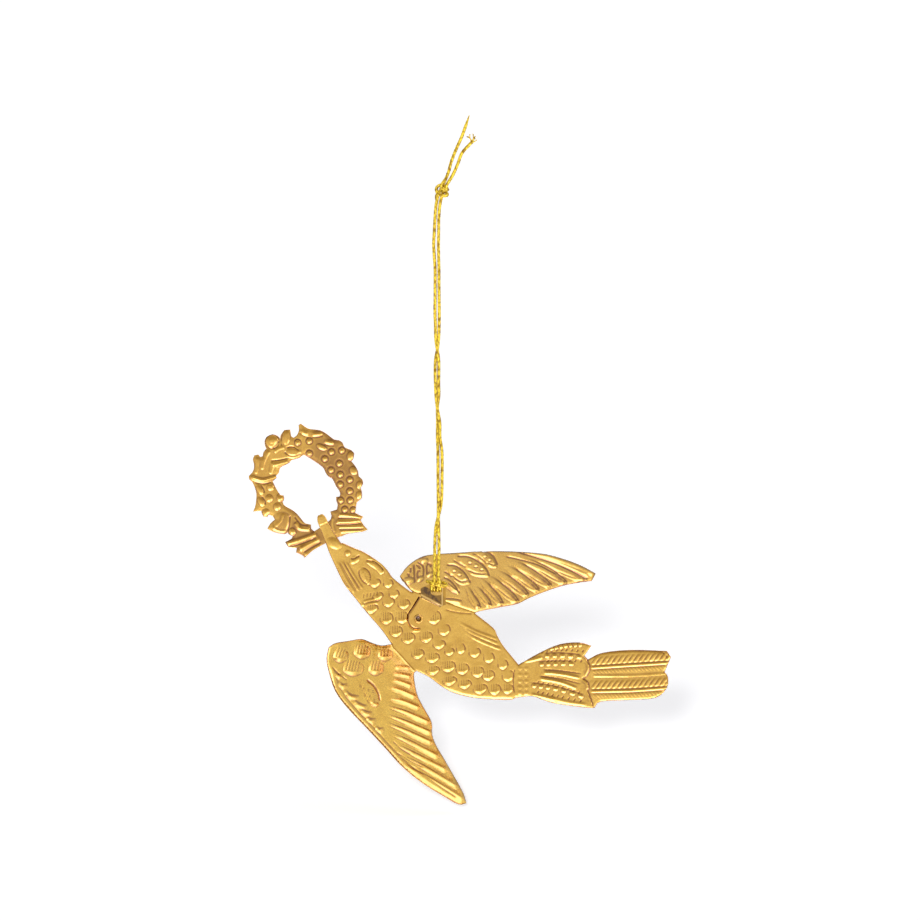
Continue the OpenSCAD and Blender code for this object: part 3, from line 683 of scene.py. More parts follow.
# The sheet's cut edge dips below these rows, and more under the belly, between these columns and rows
STRAP_ROWS = (523, 532)
BELLY_BEGINS = (440, 455)
BELLY_ENDS = (510, 524)
BELLY_ROWS = (676, 684)
# The hand work's unevenness: the spacing, height and seed of its waves
UNEVEN = ((11, 0.035, SEED), (4.6, 0.018, SEED + 1), (2.0, 0.009, SEED + 2))


def bird_relief(x, y):
    r = Relief(x, y)
    head(r)
    body(r)
    long_tail(r, fan(r))
    near_wing(r)
    far_wing(r)
    edge = gap_to(x, y, dense(BIRD, 1.4))
    belly = smooth(x, *BELLY_BEGINS) * smooth(-x, -BELLY_ENDS[1], -BELLY_ENDS[0]) * smooth(y, *BELLY_ROWS)
    dip = 0.14 * (1 - smooth(edge, 0, 2)) * smooth(y, *STRAP_ROWS)
    r.h -= dip + 0.2 * (1 - smooth(edge, 0, 4.5)) * belly
    for pitch, height, seed in UNEVEN:
        r.h += height * waves(x, y, pitch, seed)
    return r.h, r.tarnish_and_shade


# Marks of the wreath: the right side's round berries, the left side's leaning buds and small berries
ROUND_BERRIES = (
    (297.7, 442.2), (309.3, 440.6), (309.3, 453), (331.4, 451.4), (341.8, 450), (324.8, 458.4),
    (339.3, 463), (331, 469.6), (340.2, 474), (349.8, 479.2), (340.2, 484), (349.8, 490.6), (350.2, 499.8),
    (340.6, 500), (344.8, 509), (353.2, 509.6))
BUDS = ((259.8, 490), (261, 501.6))
SMALL_BERRIES = (
    (270.6, 486.8), (269.3, 498.2), (280.2, 497.6), (277.3, 506.6), (266, 512.6), (292.2, 531.6))
LARGE_BERRY = (272.2, 441.4)
WREATH_LEAVES = (
    [(299.6, 429.6), (304, 432.6), (309, 434)], [(311.6, 434.2), (318, 433.8), (324, 432.4)],
    [(324, 440.4), (329, 442.2), (335, 442.6)])
WREATH_STEMS = (
    [(262, 470), (263.4, 463), (266, 456), (270, 450)], [(255.6, 474), (257, 465), (257.4, 457)],
    [(270, 474), (272, 468), (272.4, 462)])
# Centre, radii, height, turn and the power of the profile
WREATH_DOMES = (
    (353.5, 470.6, 4.6, 3.8, 0.36, 50, 0.8), (359.4, 485, 2.8, 4, 0.36, 0, 0.8),
    (359.2, 495, 2.8, 4, 0.36, 0, 0.8), (351, 456, 4, 4.6, 0.36, 10, 0.8),
    (321.6, 447, 5.6, 2.6, 0.36, 25, 0.8), (272.4, 440.6, 3.8, 3, 0.14),
    (286.2, 437.6, 4, 7.2, 0.34, 4, 0.8), (293.6, 452.6, 7.4, 5.8, 0.42, -6, 0.7),
    (282, 521, 9, 9, 0.3, 20, 0.8))
WREATH_RIDGES = (
    ([(272.6, 448.6), (276, 444.6), (279, 440.4)], 0.9, -0.3),
    ([(281.4, 446), (281, 440), (282.6, 433)], 0.8, -0.16),
    ([(286, 447.6), (292, 446.6), (299.6, 450.4)], 0.8, -0.26),
    ([(283.6, 451), (289, 455), (296, 455.4), (301, 453)], 0.8, -0.24),
    ([(272, 464.8), (279, 463.6), (288.6, 461.4)], 2, 0.4),
    ([(270, 460.6), (279, 459.8), (289, 457.8)], 0.9, -0.2),
    ([(274, 452), (279, 448.6), (284.6, 447)], 1.6, 0.24),
    ([(250.6, 476.6), (256, 478.4), (263, 480), (270, 478.4), (277.6, 476.4)], 1.5, 0.46, (0.1, 0.1)),
    ([(254, 482), (263, 483.6), (272, 482)], 1.1, -0.24),
    ([(283.6, 513), (280.6, 521), (272, 529)], 1.2, 0.16),
    ([(272.6, 527.6), (279, 530.6), (285.6, 531.4)], 1.2, 0.2),
    ([(290, 515), (289.4, 523), (287.6, 531)], 1, -0.26),
    ([(295.4, 522), (300, 528), (310.6, 529)], 1.9, 0.4),
    ([(294, 516), (301, 524), (309, 525.6)], 1, -0.2))
BOW_RIDGES = (
    ([(286, 543.6), (300, 539.6), (317, 533.6)], 1.8, 0.36),
    ([(288, 547), (301, 543.4), (314, 538.6)], 1, -0.28),
    ([(299, 549.6), (308, 544.6), (320, 538.4)], 1.8, 0.36),
    ([(303, 552.6), (311, 547.4), (322, 541.4)], 0.9, -0.24),
    ([(305, 556), (313, 549.8), (323, 543.6)], 1.5, 0.26),
    ([(336, 521.6), (348, 521.4), (361, 520)], 2, 0.4),
    ([(335, 524.6), (348, 524.4), (362, 523.2)], 1, -0.3),
    ([(338, 527), (350, 526.8), (364, 526.4)], 1.5, 0.24),
    ([(338, 529.2), (350, 529), (365, 528.6)], 0.8, -0.24),
    ([(340, 531.4), (352, 531.2), (364, 530.4)], 1.4, 0.3),
    ([(338, 514.6), (349, 515.4), (361, 517)], 1.4, 0.3),
    ([(337, 517.8), (349, 518.2), (360, 518.4)], 0.8, -0.24),
    ([(318, 526.6), (315, 534), (321, 540)], 1.6, 0.2), ([(333, 517), (332, 524), (334, 533)], 1.3, 0.24))


def round_berry(r, cx, cy):
    """A berry in a groove, with painted shade on its upper left."""
    r.dome(cx, cy + 0.2, 2.9, 2.9, 0.4)
    i = r.near(cx - 6, cy - 6, cx + 6, cy + 6)
    dx, dy = r.x[i] - cx, r.y[i] - cy
    gap = np.hypot(dx, dy)
    r.h[i] -= 0.12 * hump(gap - 3.4, 0.8)
    # Painted shade on the berry's upper left, the side turned from the light
    r.tarnish_and_shade[i] += 0.7 * hump(gap - 2.8, 0.9) * np.clip((-0.4 * dx - dy) / 3, 0, 1)


# The strap holds the wreath flat about this pixel
GRIP = (324, 528)
# The wreath darkens over a slanting band, which begins and ends between these distances, and about a patch,
# which has its centre
BAND_BEGINS = (475, 500)
BAND_ENDS = (590, 620)
PATCH = (328, 472)


def wreath_relief(x, y):
    r = Relief(x, y)
    r.h += 0.22 * smooth(gap_to(x, y, dense(WREATH_OUT, 1.5) + dense(WREATH_IN, 1.5)), 0, 4.5)
    for cx, cy in ROUND_BERRIES:
        round_berry(r, cx, cy)
    for line in WREATH_LEAVES:
        r.ridge(line, 1.8, 0.3, (0.3, 0.3))
        r.ridge(moved(line, -0.4, 3), 1.0, -0.14)
    r.dome(*LARGE_BERRY, 6.6, 6.8, 0.42, 0, 0.7)
    r.h -= 0.16 * hump(np.hypot(x - LARGE_BERRY[0], y - LARGE_BERRY[1]) - 7, 0.9)
    for line in WREATH_STEMS:
        r.ridge(line, 1.7, 0.24)
    for cx, cy in BUDS:
        r.dome(cx, cy, 2.9, 5.2, 0.4, -32, 0.8)
        r.ridge([(cx + 0.6, cy - 6), (cx + 4, cy - 1), (cx + 4.6, cy + 3)], 0.7, -0.2)
    for cx, cy in SMALL_BERRIES:
        r.dome(cx, cy, 3.6, 3.8, 0.46, 0, 0.8)
    for mark in WREATH_DOMES:
        r.dome(*mark)
    for mark in WREATH_RIDGES + BOW_RIDGES:
        r.ridge(*mark)
    flat = np.exp(-(np.hypot((x - GRIP[0]) * 0.9, (y - GRIP[1]) * 0.45) / 7.5) ** 4)
    r.h = (0.75 * r.h + 0.02 * waves(x, y, 9, SEED + 3) + 0.008 * waves(x, y, 3, SEED + 4)) * (1 - flat)
    band = smooth(x + 0.4 * y, *BAND_BEGINS) * smooth(-x - 0.5 * y, -BAND_ENDS[1], -BAND_ENDS[0])
    r.tarnish_and_shade += 0.55 * band
    r.tarnish_and_shade += 0.3 * hump(np.hypot(x - PATCH[0], y - PATCH[1]), 22)
    return r.h, r.tarnish_and_shade


def place(x, y, depth):
    """Points at a depth, seen at those pixels by the photograph's camera."""
    up = (ORIGIN_PX[1] - y) * PIXEL
    return np.stack([(x - ORIGIN_PX[0]) * PIXEL, depth, (up - depth * SIN_RISE) / COS_RISE], -1)


def wing_fold(crease, degrees, side):
    """A wing's crease: its first pixel, its way, the way across it, the bend and the side it turns to."""
    start, end = (place(*pixel, SHEET_Y) for pixel in crease)
    way = (end - start) / np.linalg.norm(end - start)
    across = np.array([-way[2], 0, way[0]]) * side
    return crease[0], way, across, math.radians(degrees), side


WINGS = ((NEAR, wing_fold(NEAR_CREASE, NEAR_BEND, -1)), (FAR, wing_fold(FAR_CREASE, FAR_BEND, 1)))


# Places this many pixels from a wing's outline count as the wing's
NEAR_LINE = 0.02


def on_line(p, poly):
    found = np.zeros(len(p), bool)
    for a, b in zip(np.array(poly[:-1]), np.array(poly[1:])):
        t = np.clip(((p - a) @ (b - a)) / ((b - a) @ (b - a)), 0, 1)
        found |= np.hypot(*(p - a - t[:, None] * (b - a)).T) < NEAR_LINE
    return found


def folded_sheet(x, y):
    """Depth and face normal of the bird's sheet at pixels of its outline."""
    depth = np.full(len(x), SHEET_Y)
    normal = np.tile([0.0, -1.0, 0.0], (len(x), 1))
    p = np.stack([x, y], 1)
    for outline, (start, way, across, bend, side) in WINGS:
        i = np.nonzero(inside(p, outline) | on_line(p, outline))[0]
        dx, dv = (x[i] - start[0]) * PIXEL, (start[1] - y[i]) * PIXEL
        # How far along the crease and across it a place of the wing is, from where the camera sees it
        seen = np.array([
            [way[0], across[0] * math.cos(bend)],
            [way[2] * COS_RISE, across[2] * math.cos(bend) * COS_RISE + side * math.sin(bend) * SIN_RISE]])
        _, d = np.linalg.solve(seen, np.stack([dx, dv]))
        d = np.clip(d, 0, None)
        bow = np.sqrt(d * d + CREASE_RADIUS ** 2)
        depth[i] = SHEET_Y + side * math.sin(bend) * (bow - CREASE_RADIUS)
        angle = (bend * d / bow)[:, None]
        normal[i] = np.cos(angle) * [0, -1, 0] + side * np.sin(angle) * across
    return depth, normal


def flat_sheet(x, _):
    return np.full(len(x), WREATH_Y), np.tile([0.0, -1.0, 0.0], (len(x), 1))


def tiling(outer, holes, creases, step, rim):
    """Triangles over an outline with holes: evenly spread points, whose rim and crease lines are kept."""
    vertices, edges = [], []
    for loop in [outer] + holes:
        pts = dense(loop, rim)
        first = len(vertices)
        vertices += pts
        edges += [(first + i, first + (i + 1) % len(pts)) for i in range(len(pts))]
    rims = np.array(vertices)
    for line in creases:
        pts = dense(line, step, False)[1:-1]
        ends = [int(np.argmin(np.hypot(*(rims - q).T))) for q in line]
        chain = [ends[0]] + list(range(len(vertices), len(vertices) + len(pts))) + [ends[1]]
        vertices += pts
        edges += list(zip(chain[:-1], chain[1:]))
    fixed = np.array(vertices)
    low, high = fixed.min(0), fixed.max(0)
    rows = []
    for j, y in enumerate(np.arange(low[1], high[1], 0.866 * step)):
        row = np.arange(low[0] + (j % 2) * step / 2, high[0], step)
        rows.append(np.stack([row, np.full(len(row), y)], 1))
    grid = np.concatenate(rows)
    grid = grid[within_outline(grid, outer, holes)]
    clear = np.ones(len(grid), bool)
    for q in fixed:
        clear &= ((q - grid) ** 2).sum(1) >= (0.55 * step) ** 2
    points = np.vstack([fixed, grid[clear]])
    result = delaunay_2d_cdt([Vector(p) for p in points], edges, [], 0, 1e-7)
    out, faces = np.array([tuple(v) for v in result[0]]), np.array(result[2])
    faces = faces[within_outline(out[faces].mean(1), outer, holes)]
    (ax, ay), (bx, by), (cx, cy) = (out[faces[:, k]].T for k in range(3))
    back = (bx - ax) * (cy - ay) - (by - ay) * (cx - ax) < 0
    faces[back] = faces[back][:, ::-1]
    return out, faces


def within_outline(p, outer, holes):
    found = inside(p, outer)
    for hole in holes:
        found &= ~inside(p, hole)
    return found


def cavity(h, faces):
    """How far each point lies below the mean of its neighbours and theirs."""
    e = np.concatenate([faces[:, [0, 1]], faces[:, [1, 2]], faces[:, [2, 0]]])
    count = np.maximum(np.bincount(e.ravel(), minlength=len(h)), 1)
    mean = h
    for _ in range(2):
        mean = sum(np.bincount(e[:, k], weights=mean[e[:, 1 - k]], minlength=len(h)) for k in (0, 1)) / count
    return mean - h


def new_mesh(name, verts, faces, tones=None):
    """A mesh, with how dark each point is where tones are given."""
    mesh = bpy.data.meshes.new(name)
    mesh.from_pydata([tuple(v) for v in verts], [], faces)
    mesh.update()
    if tones is not None:
        tone = mesh.attributes.new("tone", "FLOAT", "POINT")
        tone.data.foreach_set("value", np.array(tones, np.float32))
    return mesh


def new_object(name, data):
    obj = bpy.data.objects.new(name, data)
    bpy.context.scene.collection.objects.link(obj)
    return obj


def new_piece(mesh, material, body, node=None):
    """A piece of the ornament, which stands for a node of the frame where one is given."""
    bm = bmesh.new()
    bm.from_mesh(mesh)
    bmesh.ops.recalc_face_normals(bm, faces=bm.faces)
    bm.to_mesh(mesh)
    bm.free()
    mesh.shade_smooth()
    mesh.materials.append(material)
    obj = new_object(mesh.name, mesh)
    if node:
        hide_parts(node)
    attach(obj, body)
    return obj


# How dark full tarnish and full painted shade are, on the scale of the hollows' depth in millimetres
TARNISH_AND_SHADE_TONE = 0.046


def sheet_mesh(name, outer, holes, creases, base, relief, steps):
    """A stamped sheet: its embossed front, its plainer back and the rim that joins them."""
    rim = steps[0]
    verts, faces, tones = [], [], []
    # A side's step, its share of the relief, its face's direction and how its hollows darken it
    for step, share, facing, shade in ((steps[0], 0.001, 1, 1), (steps[1], 0.0008, -1, -0.4)):
        p, triangles = tiling(outer, holes, creases, step, rim)
        x, y = p.T
        h, tarnish_and_shade = relief(x, y)
        depth, normal = base(x, y)
        verts.append(place(x, y, depth) + normal * (h * share + facing * THICK / 2)[:, None])
        tones.append(cavity(h, triangles) * shade + TARNISH_AND_SHADE_TONE * tarnish_and_shade)
        # Pixels run down, so a front face that turns with them faces the viewer
        faces += (triangles[:, ::facing] + (0 if facing > 0 else len(verts[0]))).tolist()
    first, behind = 0, len(verts[0])
    for loop in [outer] + holes:
        n = len(dense(loop, rim))
        for i in range(n):
            a, b = first + i, first + (i + 1) % n
            faces.append((a, b, b + behind, a + behind))
        first += n
    return new_mesh(name, np.vstack(verts), faces, np.concatenate(tones))


def tube_mesh(name, verts, sides, tones=None):
    """A closed tube through rings of points, so many to a ring."""
    last = len(verts) - sides
    faces = []
    for i in range(0, last, sides):
        for k in range(sides):
            a, b = i + k, i + (k + 1) % sides
            faces.append((a, b, b + sides, a + sides))
    faces += [tuple(range(sides - 1, -1, -1)), tuple(range(last, last + sides))]
    return new_mesh(name, verts, faces, tones)


class Nodes:
    """Short ways to add shader nodes to a tree. An input is a value or the socket that feeds it."""

    def __init__(self, tree):
        self.tree = tree

    def feed(self, node, inputs):
        for key, value in inputs.items():
            if isinstance(value, bpy.types.NodeSocket):
                self.tree.links.new(value, node.inputs[key])
            else:
                node.inputs[key].default_value = value

    def add(self, kind, inputs, **settings):
        node = self.tree.nodes.new("ShaderNode" + kind)
        for key, value in settings.items():
            setattr(node, key, value)
        self.feed(node, inputs)
        return node

    def where(self, kind):
        return self.add("TexCoord", {}).outputs[kind]

    def axis(self, vector, name):
        return self.add("SeparateXYZ", {0: vector}).outputs[name]

    def ray(self, kind):
        return self.add("LightPath", {}).outputs[kind]

    def noise(self, at, scale, detail):
        return self.add("TexNoise", {"Vector": at, "Scale": scale, "Detail": detail}).outputs["Fac"]

    def ranged(self, value, lo, hi, a=0.0, b=1.0, **settings):
        inputs = {"Value": value, "From Min": lo, "From Max": hi, "To Min": a, "To Max": b}
        return self.add("MapRange", inputs, **settings).outputs["Result"]

    def mixed(self, fac, first, second):
        return self.add("Mix", {0: fac, 6: first, 7: second}, data_type="RGBA").outputs[2]

    def times(self, first, second):
        return self.add("Math", {0: first, 1: second}, operation="MULTIPLY").outputs[0]

    def within(self, value, lo, hi, soft, most=1.0):
        return self.times(self.ranged(value, lo, lo + soft, 0.0, most), self.ranged(value, hi, hi - soft))

    def vector(self, operation, inputs, out="Vector"):
        return self.add("VectorMath", inputs, operation=operation).outputs[out]

    def bump(self, height, strength, distance, **settings):
        inputs = {"Height": height, "Strength": strength, "Distance": distance}
        return self.add("Bump", inputs, **settings).outputs["Normal"]


def new_material(name, plain):
    """A material, its nodes and its shader, whose plain inputs are set."""
    material = bpy.data.materials.new(name)
    material.use_nodes = True
    n = Nodes(material.node_tree)
    shader = material.node_tree.nodes["Principled BSDF"]
    n.feed(shader, plain)
    return material, n, shader


# The bracket's tab: the fold's line in the plane of the sheet, metres from the origin, and the colour of its
# painted highlights
FOLD_NORMAL = (0.471, 0.0, 0.882)
FOLD_LEVEL = -0.1117
TAB_HIGHLIGHT = (1.0, 0.72, 0.32, 1)
# Painted shade and painted highlights across the tab, in metres from its fold, and along it, in metres from
# the middle
TAB_SHADE_BEGINS = (0.00005, 0.0004)
TAB_SHADE_ENDS = (0.0029, 0.0026)
CREASE_SHADE_LINE = (-0.0009, -0.0004)
FOLD_HIGHLIGHT = (-0.00035, 0.0001)
TAB_SHADE_SIDE = (0.00085, 0.00115)
EDGE_HIGHLIGHT = (0.0011, 0.0015)


def tab_painted_light(n, at, shade, dark):
    """Painted light on the tab: blotchy painted shade above its fold, a painted shade line below it, and
    painted highlights on the fold and the right edge.
    """
    across = n.vector("DOT_PRODUCT", {0: at, 1: FOLD_NORMAL}, "Value")
    x = n.axis(at, "X")

    def from_fold(limits):
        return [FOLD_LEVEL + limit for limit in limits]

    # Painted shade: blotches darken the tab above its fold, less towards its right edge
    band = n.times(n.ranged(across, *from_fold(TAB_SHADE_BEGINS)), n.ranged(across, *from_fold(TAB_SHADE_ENDS)))
    shade_blotches = n.times(band, n.ranged(n.noise(at, 900, 3), 0.38, 0.56, 0.6, 1.0))
    shade = n.mixed(n.times(shade_blotches, n.ranged(x, *TAB_SHADE_SIDE, 1.0, 0.3)), shade, dark)
    # Painted shade: a dark line just below the fold
    shade = n.mixed(n.within(across, *from_fold(CREASE_SHADE_LINE), 0.00015, 0.65), shade, dark)
    # Painted highlights: a bright line along the fold, and one along the tab's right edge
    shade = n.mixed(n.within(across, *from_fold(FOLD_HIGHLIGHT), 0.0001, 0.8), shade, TAB_HIGHLIGHT)
    edge = n.times(n.within(x, *EDGE_HIGHLIGHT, 0.0001, 0.9), n.ranged(across, *from_fold((0, 0.0003))))
    return n.mixed(edge, shade, TAB_HIGHLIGHT)


def brass(name, colour, dark, rough=0.19, grain=1.0, tab=False):
    """Lacquered brass: darker in its hollows, mottled with patina and finely grained."""
    lacquer = {"Metallic": 1.0, "Coat Weight": 1.0, "Coat Roughness": 0.1, "Coat IOR": 1.6}
    material, n, shader = new_material(name, lacquer)
    at = n.where("Object")

    def tint(*shares):
        return (*(min(1.0, c * share) for c, share in zip(colour, shares)), 1)

    fine = n.noise(at, 1900, 4)
    mottled = n.mixed(n.ranged(n.noise(at, 210, 4), 0.36, 0.64), tint(0.86, 0.8, 0.6), tint(1.09, 1.13, 1.3))
    grained = n.mixed(n.ranged(fine, 0.3, 0.7), tint(0.86, 0.82, 0.7), tint(1.1, 1.14, 1.3))
    spots = n.ranged(n.noise(at, 620, 3), 0.63, 0.74, 0, 0.35)
    metal = n.mixed(spots, n.mixed(0.5, mottled, grained), tint(0.7, 0.64, 0.5))
    # The tone darkens the metal in hollows, where tarnished, and where shade is painted: the berries' upper
    # sides, the rivet's hollow and the ear's groove
    tone = n.add("Attribute", {}, attribute_name="tone").outputs["Fac"]
    shade = n.mixed(n.ranged(tone, 0.003, 0.049), metal, dark)
    # The tab gets painted shade and painted highlights
    if tab:
        shade = tab_painted_light(n, at, shade, dark)
    n.feed(shader, {
        "Base Color": shade, "Roughness": n.ranged(fine, 0.3, 0.7, rough - 0.04, rough + 0.06),
        "Normal": n.bump(fine, 0.16 * grain, 0.00002)})
    return material


def thread(name):
    """Metallic thread: bright yellow foil with dark gaps between its turns."""
    material, n, shader = new_material(name, {"Metallic": 0.55, "Roughness": 0.38})
    stretched = n.add("Mapping", {"Vector": n.where("Object"), "Scale": (1.0, 1.0, 0.62)}).outputs["Vector"]
    gaps = n.add("TexVoronoi", {"Vector": stretched, "Scale": 1500}).outputs["Distance"]
    ramp = n.add("ValToRGB", {"Fac": gaps})
    foil, gap = ramp.color_ramp.elements
    foil.position, foil.color = 0.3, (1.0, 0.75, 0.06, 1)
    gap.position, gap.color = 0.82, (0.3, 0.15, 0.003, 1)
    n.feed(shader, {"Base Color": ramp.outputs["Color"], "Normal": n.bump(gaps, 0.7, 0.00012, invert=True)})
    return material


BRASS = brass("bird_brass", (0.73, 0.422, 0.052), (0.3, 0.11, 0.008, 1))
WREATH_BRASS = brass("wreath_brass", (0.67, 0.365, 0.04), (0.27, 0.1, 0.008, 1))
# The fitting's dark colour serves painted shade, in the rivet's hollow and on the tab
FITTING = brass("fitting_brass", (0.71, 0.40, 0.048), (0.13, 0.06, 0.016, 1), 0.16, 0.4, tab=True)
THREAD = thread("metallic_thread")

# The sheets, and the spacing of their points in pixels in front and behind
BIRD_STEPS = (0.95, 1.7)
WREATH_STEPS = (0.8, 1.5)
new_piece(sheet_mesh("bird", BIRD, [], [NEAR_CREASE, FAR_CREASE], folded_sheet, bird_relief, BIRD_STEPS),
          BRASS, "bird", "bird_sheet")
new_piece(sheet_mesh("wreath_sheet", WREATH_OUT, [WREATH_IN], [], flat_sheet, wreath_relief, WREATH_STEPS),
          WREATH_BRASS, "bird", "wreath")

# The strap's fold over the wreath: its top and foot in pixels, half its width, its radius and thickness
STRAP_TOP = (320.4, 516.6)
STRAP_FOOT = (331.5, 541.0)
STRAP_HALF = 0.0014
STRAP_RADIUS = 0.0004
STRAP_THICK = 0.0003
STRAP_NARROWS = 0.0015
# How far the fold's two legs reach down from its top
FRONT_LEG = (0.003, 0.002, 0.0013, 0.0009, 0.0006, 0.0003)
REAR_LEG = (0.0012, 0.0025, 0.004, 0.0056)


def strap_fold():
    """The strap's rounded fold: a bent strip from its front leg over the wreath's edge to its rear leg."""
    top, foot = (place(*pixel, SHEET_Y) for pixel in (STRAP_TOP, STRAP_FOOT))
    down = (foot - top) / np.linalg.norm(foot - top)
    back = np.array([0, STRAP_RADIUS, 0])
    path = [top + down * t for t in FRONT_LEG]
    for a in np.linspace(0, math.pi, 15):
        path.append(top - down * math.sin(a) * STRAP_RADIUS + back * (1 - math.cos(a)))
    path += [top + down * t + 2 * back for t in REAR_LEG]
    path = np.array(path)
    # The strap narrows to its fold, so that its corners are rounded
    from_fold = (path - top) @ down + STRAP_RADIUS
    half = STRAP_HALF * np.sqrt(1 - 0.8 * np.clip(1 - from_fold / STRAP_NARROWS, 0, None) ** 2)
    run = np.gradient(path, axis=0)
    run /= np.linalg.norm(run, axis=1)[:, None]
    across = np.cross(down, [0, 1, 0])
    out = np.cross(across, run) * STRAP_THICK / 2
    ring = ((-1, -0.6), (-0.8, -1.0), (0.8, -1.0), (1, -0.6), (1, 0.6), (0.8, 1.0), (-0.8, 1.0), (-1, 0.6))
    rows = [path + side * half[:, None] * across + lift * out for side, lift in ring]
    return tube_mesh("strap_fold", np.stack(rows, 1).reshape(-1, 3), len(ring))


new_piece(strap_fold(), BRASS, "bird")

# Rings of the rivet's front: radius, depth from its face, painted shade and how much more painted shade the
# upper left gets, where the rim shadows the hollow
RIVET_FRONT = (
    (0.0001, 0.0009, 0.05, 0.03), (0.00062, 0.0009, 0.03, 0.05), (0.0007, 0.0006, 0.02, 0.05),
    (0.00072, 0.0003, 0.01, 0.05), (0.00082, 0.0001, 0, 0.06), (0.00098, 1e-05, 0, 0.05),
    (0.00115, 0, 0, 0.015), (0.0013, 7e-05, 0, 0), (0.00142, 0.00018, 0, 0.03), (0.00145, 0.0003, 0.05, 0),
    (0.001, 0.00034, 0.05, 0))
RIVET_SIDES = 36


def rivet():
    """The hollow rivet, turned about its axis within the frame's own rivet, with painted shade in its
    hollow.
    """
    low, high = (np.array(v, float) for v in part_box("rivet"))
    x, _, z = (low + high) / 2
    wide, front, rear = (high[0] - low[0]) / 2, low[1], high[1]
    rings = [(radius, front + depth, dark, upper_shade) for radius, depth, dark, upper_shade in RIVET_FRONT]
    # The shank and the head behind the sheet
    rings += [
        (0.0010, rear - 0.0005, 0, 0), (wide - 0.0001, rear - 0.00049, 0.03, 0), (wide, rear - 0.0004, 0, 0),
        (wide - 0.00005, rear - 0.0002, 0, 0), (0.6 * wide, rear - 0.00003, 0, 0), (0.0002, rear, 0, 0)]
    verts, tones = [], []
    for radius, depth, dark, upper_shade in rings:
        for k in range(RIVET_SIDES):
            a = 2 * math.pi * k / RIVET_SIDES
            verts.append((x + radius * math.cos(a), depth, z + radius * math.sin(a)))
            # Painted shade: darker in the hollow, and more on its upper left
            tones.append(dark + upper_shade * max(0, math.cos(a - math.radians(120))))
    return tube_mesh("rivet_turned", verts, RIVET_SIDES, tones)


new_piece(rivet(), FITTING, "bird", "rivet")

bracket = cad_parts["hanger_bracket"]
bracket.data.materials.clear()
bracket.data.materials.append(FITTING)
bevel = bracket.modifiers.new("edges", "BEVEL")
bevel.width = 0.0001
bevel.segments = 2
bevel.limit_method = "ANGLE"

# The cord, in millimetres: the two strands' routes from the hitch up to their free ends
LONG = [
    (0.06, 0, -117.3), (0.2, 0, -114), (0.3, 0, -110), (0.25, 0, -106), (0.2, -0.4, -102.5),
    (0.1, -0.55, -99), (0.1, -0.4, -95.5), (0.05, -0.1, -91), (0, 0, -86.5), (0, 0, -82),
    (-0.05, 0.1, -78), (-0.2, 0.4, -74), (-0.15, 0.5, -69.5), (-0.2, 0.55, -65), (0.25, 0.4, -61),
    (0.2, 0.3, -57), (0.25, 0.1, -53), (0.2, -0.3, -49.5), (-0.2, -0.55, -46.5), (-0.7, -0.35, -43),
    (-0.8, -0.1, -39), (-0.95, 0, -34.5), (-0.9, 0, -30), (-0.9, 0, -25.5), (-0.9, 0, -21),
    (-1.15, 0, -17), (-1.35, 0, -13), (-1.15, 0, -9), (-0.95, 0, -5), (-0.65, 0, -1), (0.1, 0.3, 2.6),
    (1.7, 0.5, 6), (3.2, 0.3, 9.6), (4.1, 0.1, 13), (5.6, 0, 17), (7.2, 0, 20.6), (8.5, 0, 24.2),
    (9.7, 0, 27.8)]
SHORT = [
    (-1.06, 0, -117.3), (-1.05, 0, -114), (-1, 0, -110), (-0.9, 0, -106), (-0.6, 0.4, -102.5),
    (0.2, 0.55, -99), (0.95, 0.4, -95.5), (1.2, 0.1, -91), (1.25, 0, -86.5), (1.3, 0, -82),
    (1.15, -0.1, -78), (0.6, -0.4, -74), (0.55, -0.5, -69.5), (-0.2, -0.55, -65), (-0.65, -0.4, -61),
    (-0.8, -0.3, -57), (-0.9, -0.1, -53), (-0.75, 0.3, -49.5), (-0.2, 0.55, -46.5), (0.2, 0.35, -43),
    (0.35, 0.1, -39), (0.4, 0, -34.5), (0.35, 0, -30), (0.3, 0, -25.5), (0.3, 0, -21), (0.2, 0, -17),
    (0.15, 0, -13), (0.2, 0, -9), (0.25, 0, -5), (0.55, 0, -1), (1.3, -0.4, 2.6), (2.6, -0.6, 5.6),
    (4.6, -0.5, 9), (6.1, -0.4, 12.4), (7.4, -0.3, 15.8), (9.6, -0.2, 18.4), (11, -0.2, 19.8)]
# The overhand knot: one round of each strand about the other
KNOT = [
    (-0.3, 0.4, 0.6), (-0.5, 0.9, 2), (0.6, 1.5, 3.4), (2.3, 1, 3.2), (2.9, -0.4, 2.6), (1.6, -1.4, 2.6),
    (-0.1, -1.1, 3.4), (-0.5, 0.1, 4.6), (0.6, 1.3, 5.4), (2.2, 1.2, 5), (3, 0.1, 4.2), (2.2, -1.2, 4.4),
    (1, -1, 5.4), (1.6, -0.2, 6.6), (2.3, 0.2, 7.4)]
# The short strand's frayed end: where it starts, and each thread's way and length
FRAY_START = np.array([10.6, -0.2, 19.2])
FRAY = (
    (-0.9, 0.1, 1, 2.6), (-0.3, -0.5, 1.2, 3.2), (0.1, 0.4, 1.2, 2.8), (0.5, -0.1, 1, 2.4),
    (0.9, 0.3, 0.5, 1.8), (0.4, -0.5, 0.7, 2.2), (-0.6, 0.5, 0.8, 2.4))
# The girth hitch, about the bar's middle: where its wraps lie along the bar, and its bight and leads
BAR = np.array([-0.5, 0, -121.4])
WRAPS = (-1.28, -0.44, 0.44, 1.28)
BIGHT = [
    (-1.2, 1.3, 0.6), (-2.2, 0.9, 1.3), (-2.9, -0.2, 1.6), (-2.3, -1.3, 1.5), (-1, -2, 1.2),
    (0.4, -2.2, 0.8), (1.8, -1.9, 0.4), (2.9, -1, 0.3), (3, 0.2, 0.7), (2.2, 1.1, 0.9), (1.2, 1.3, 0.6)]
LEADS = (-0.56, 0.56)
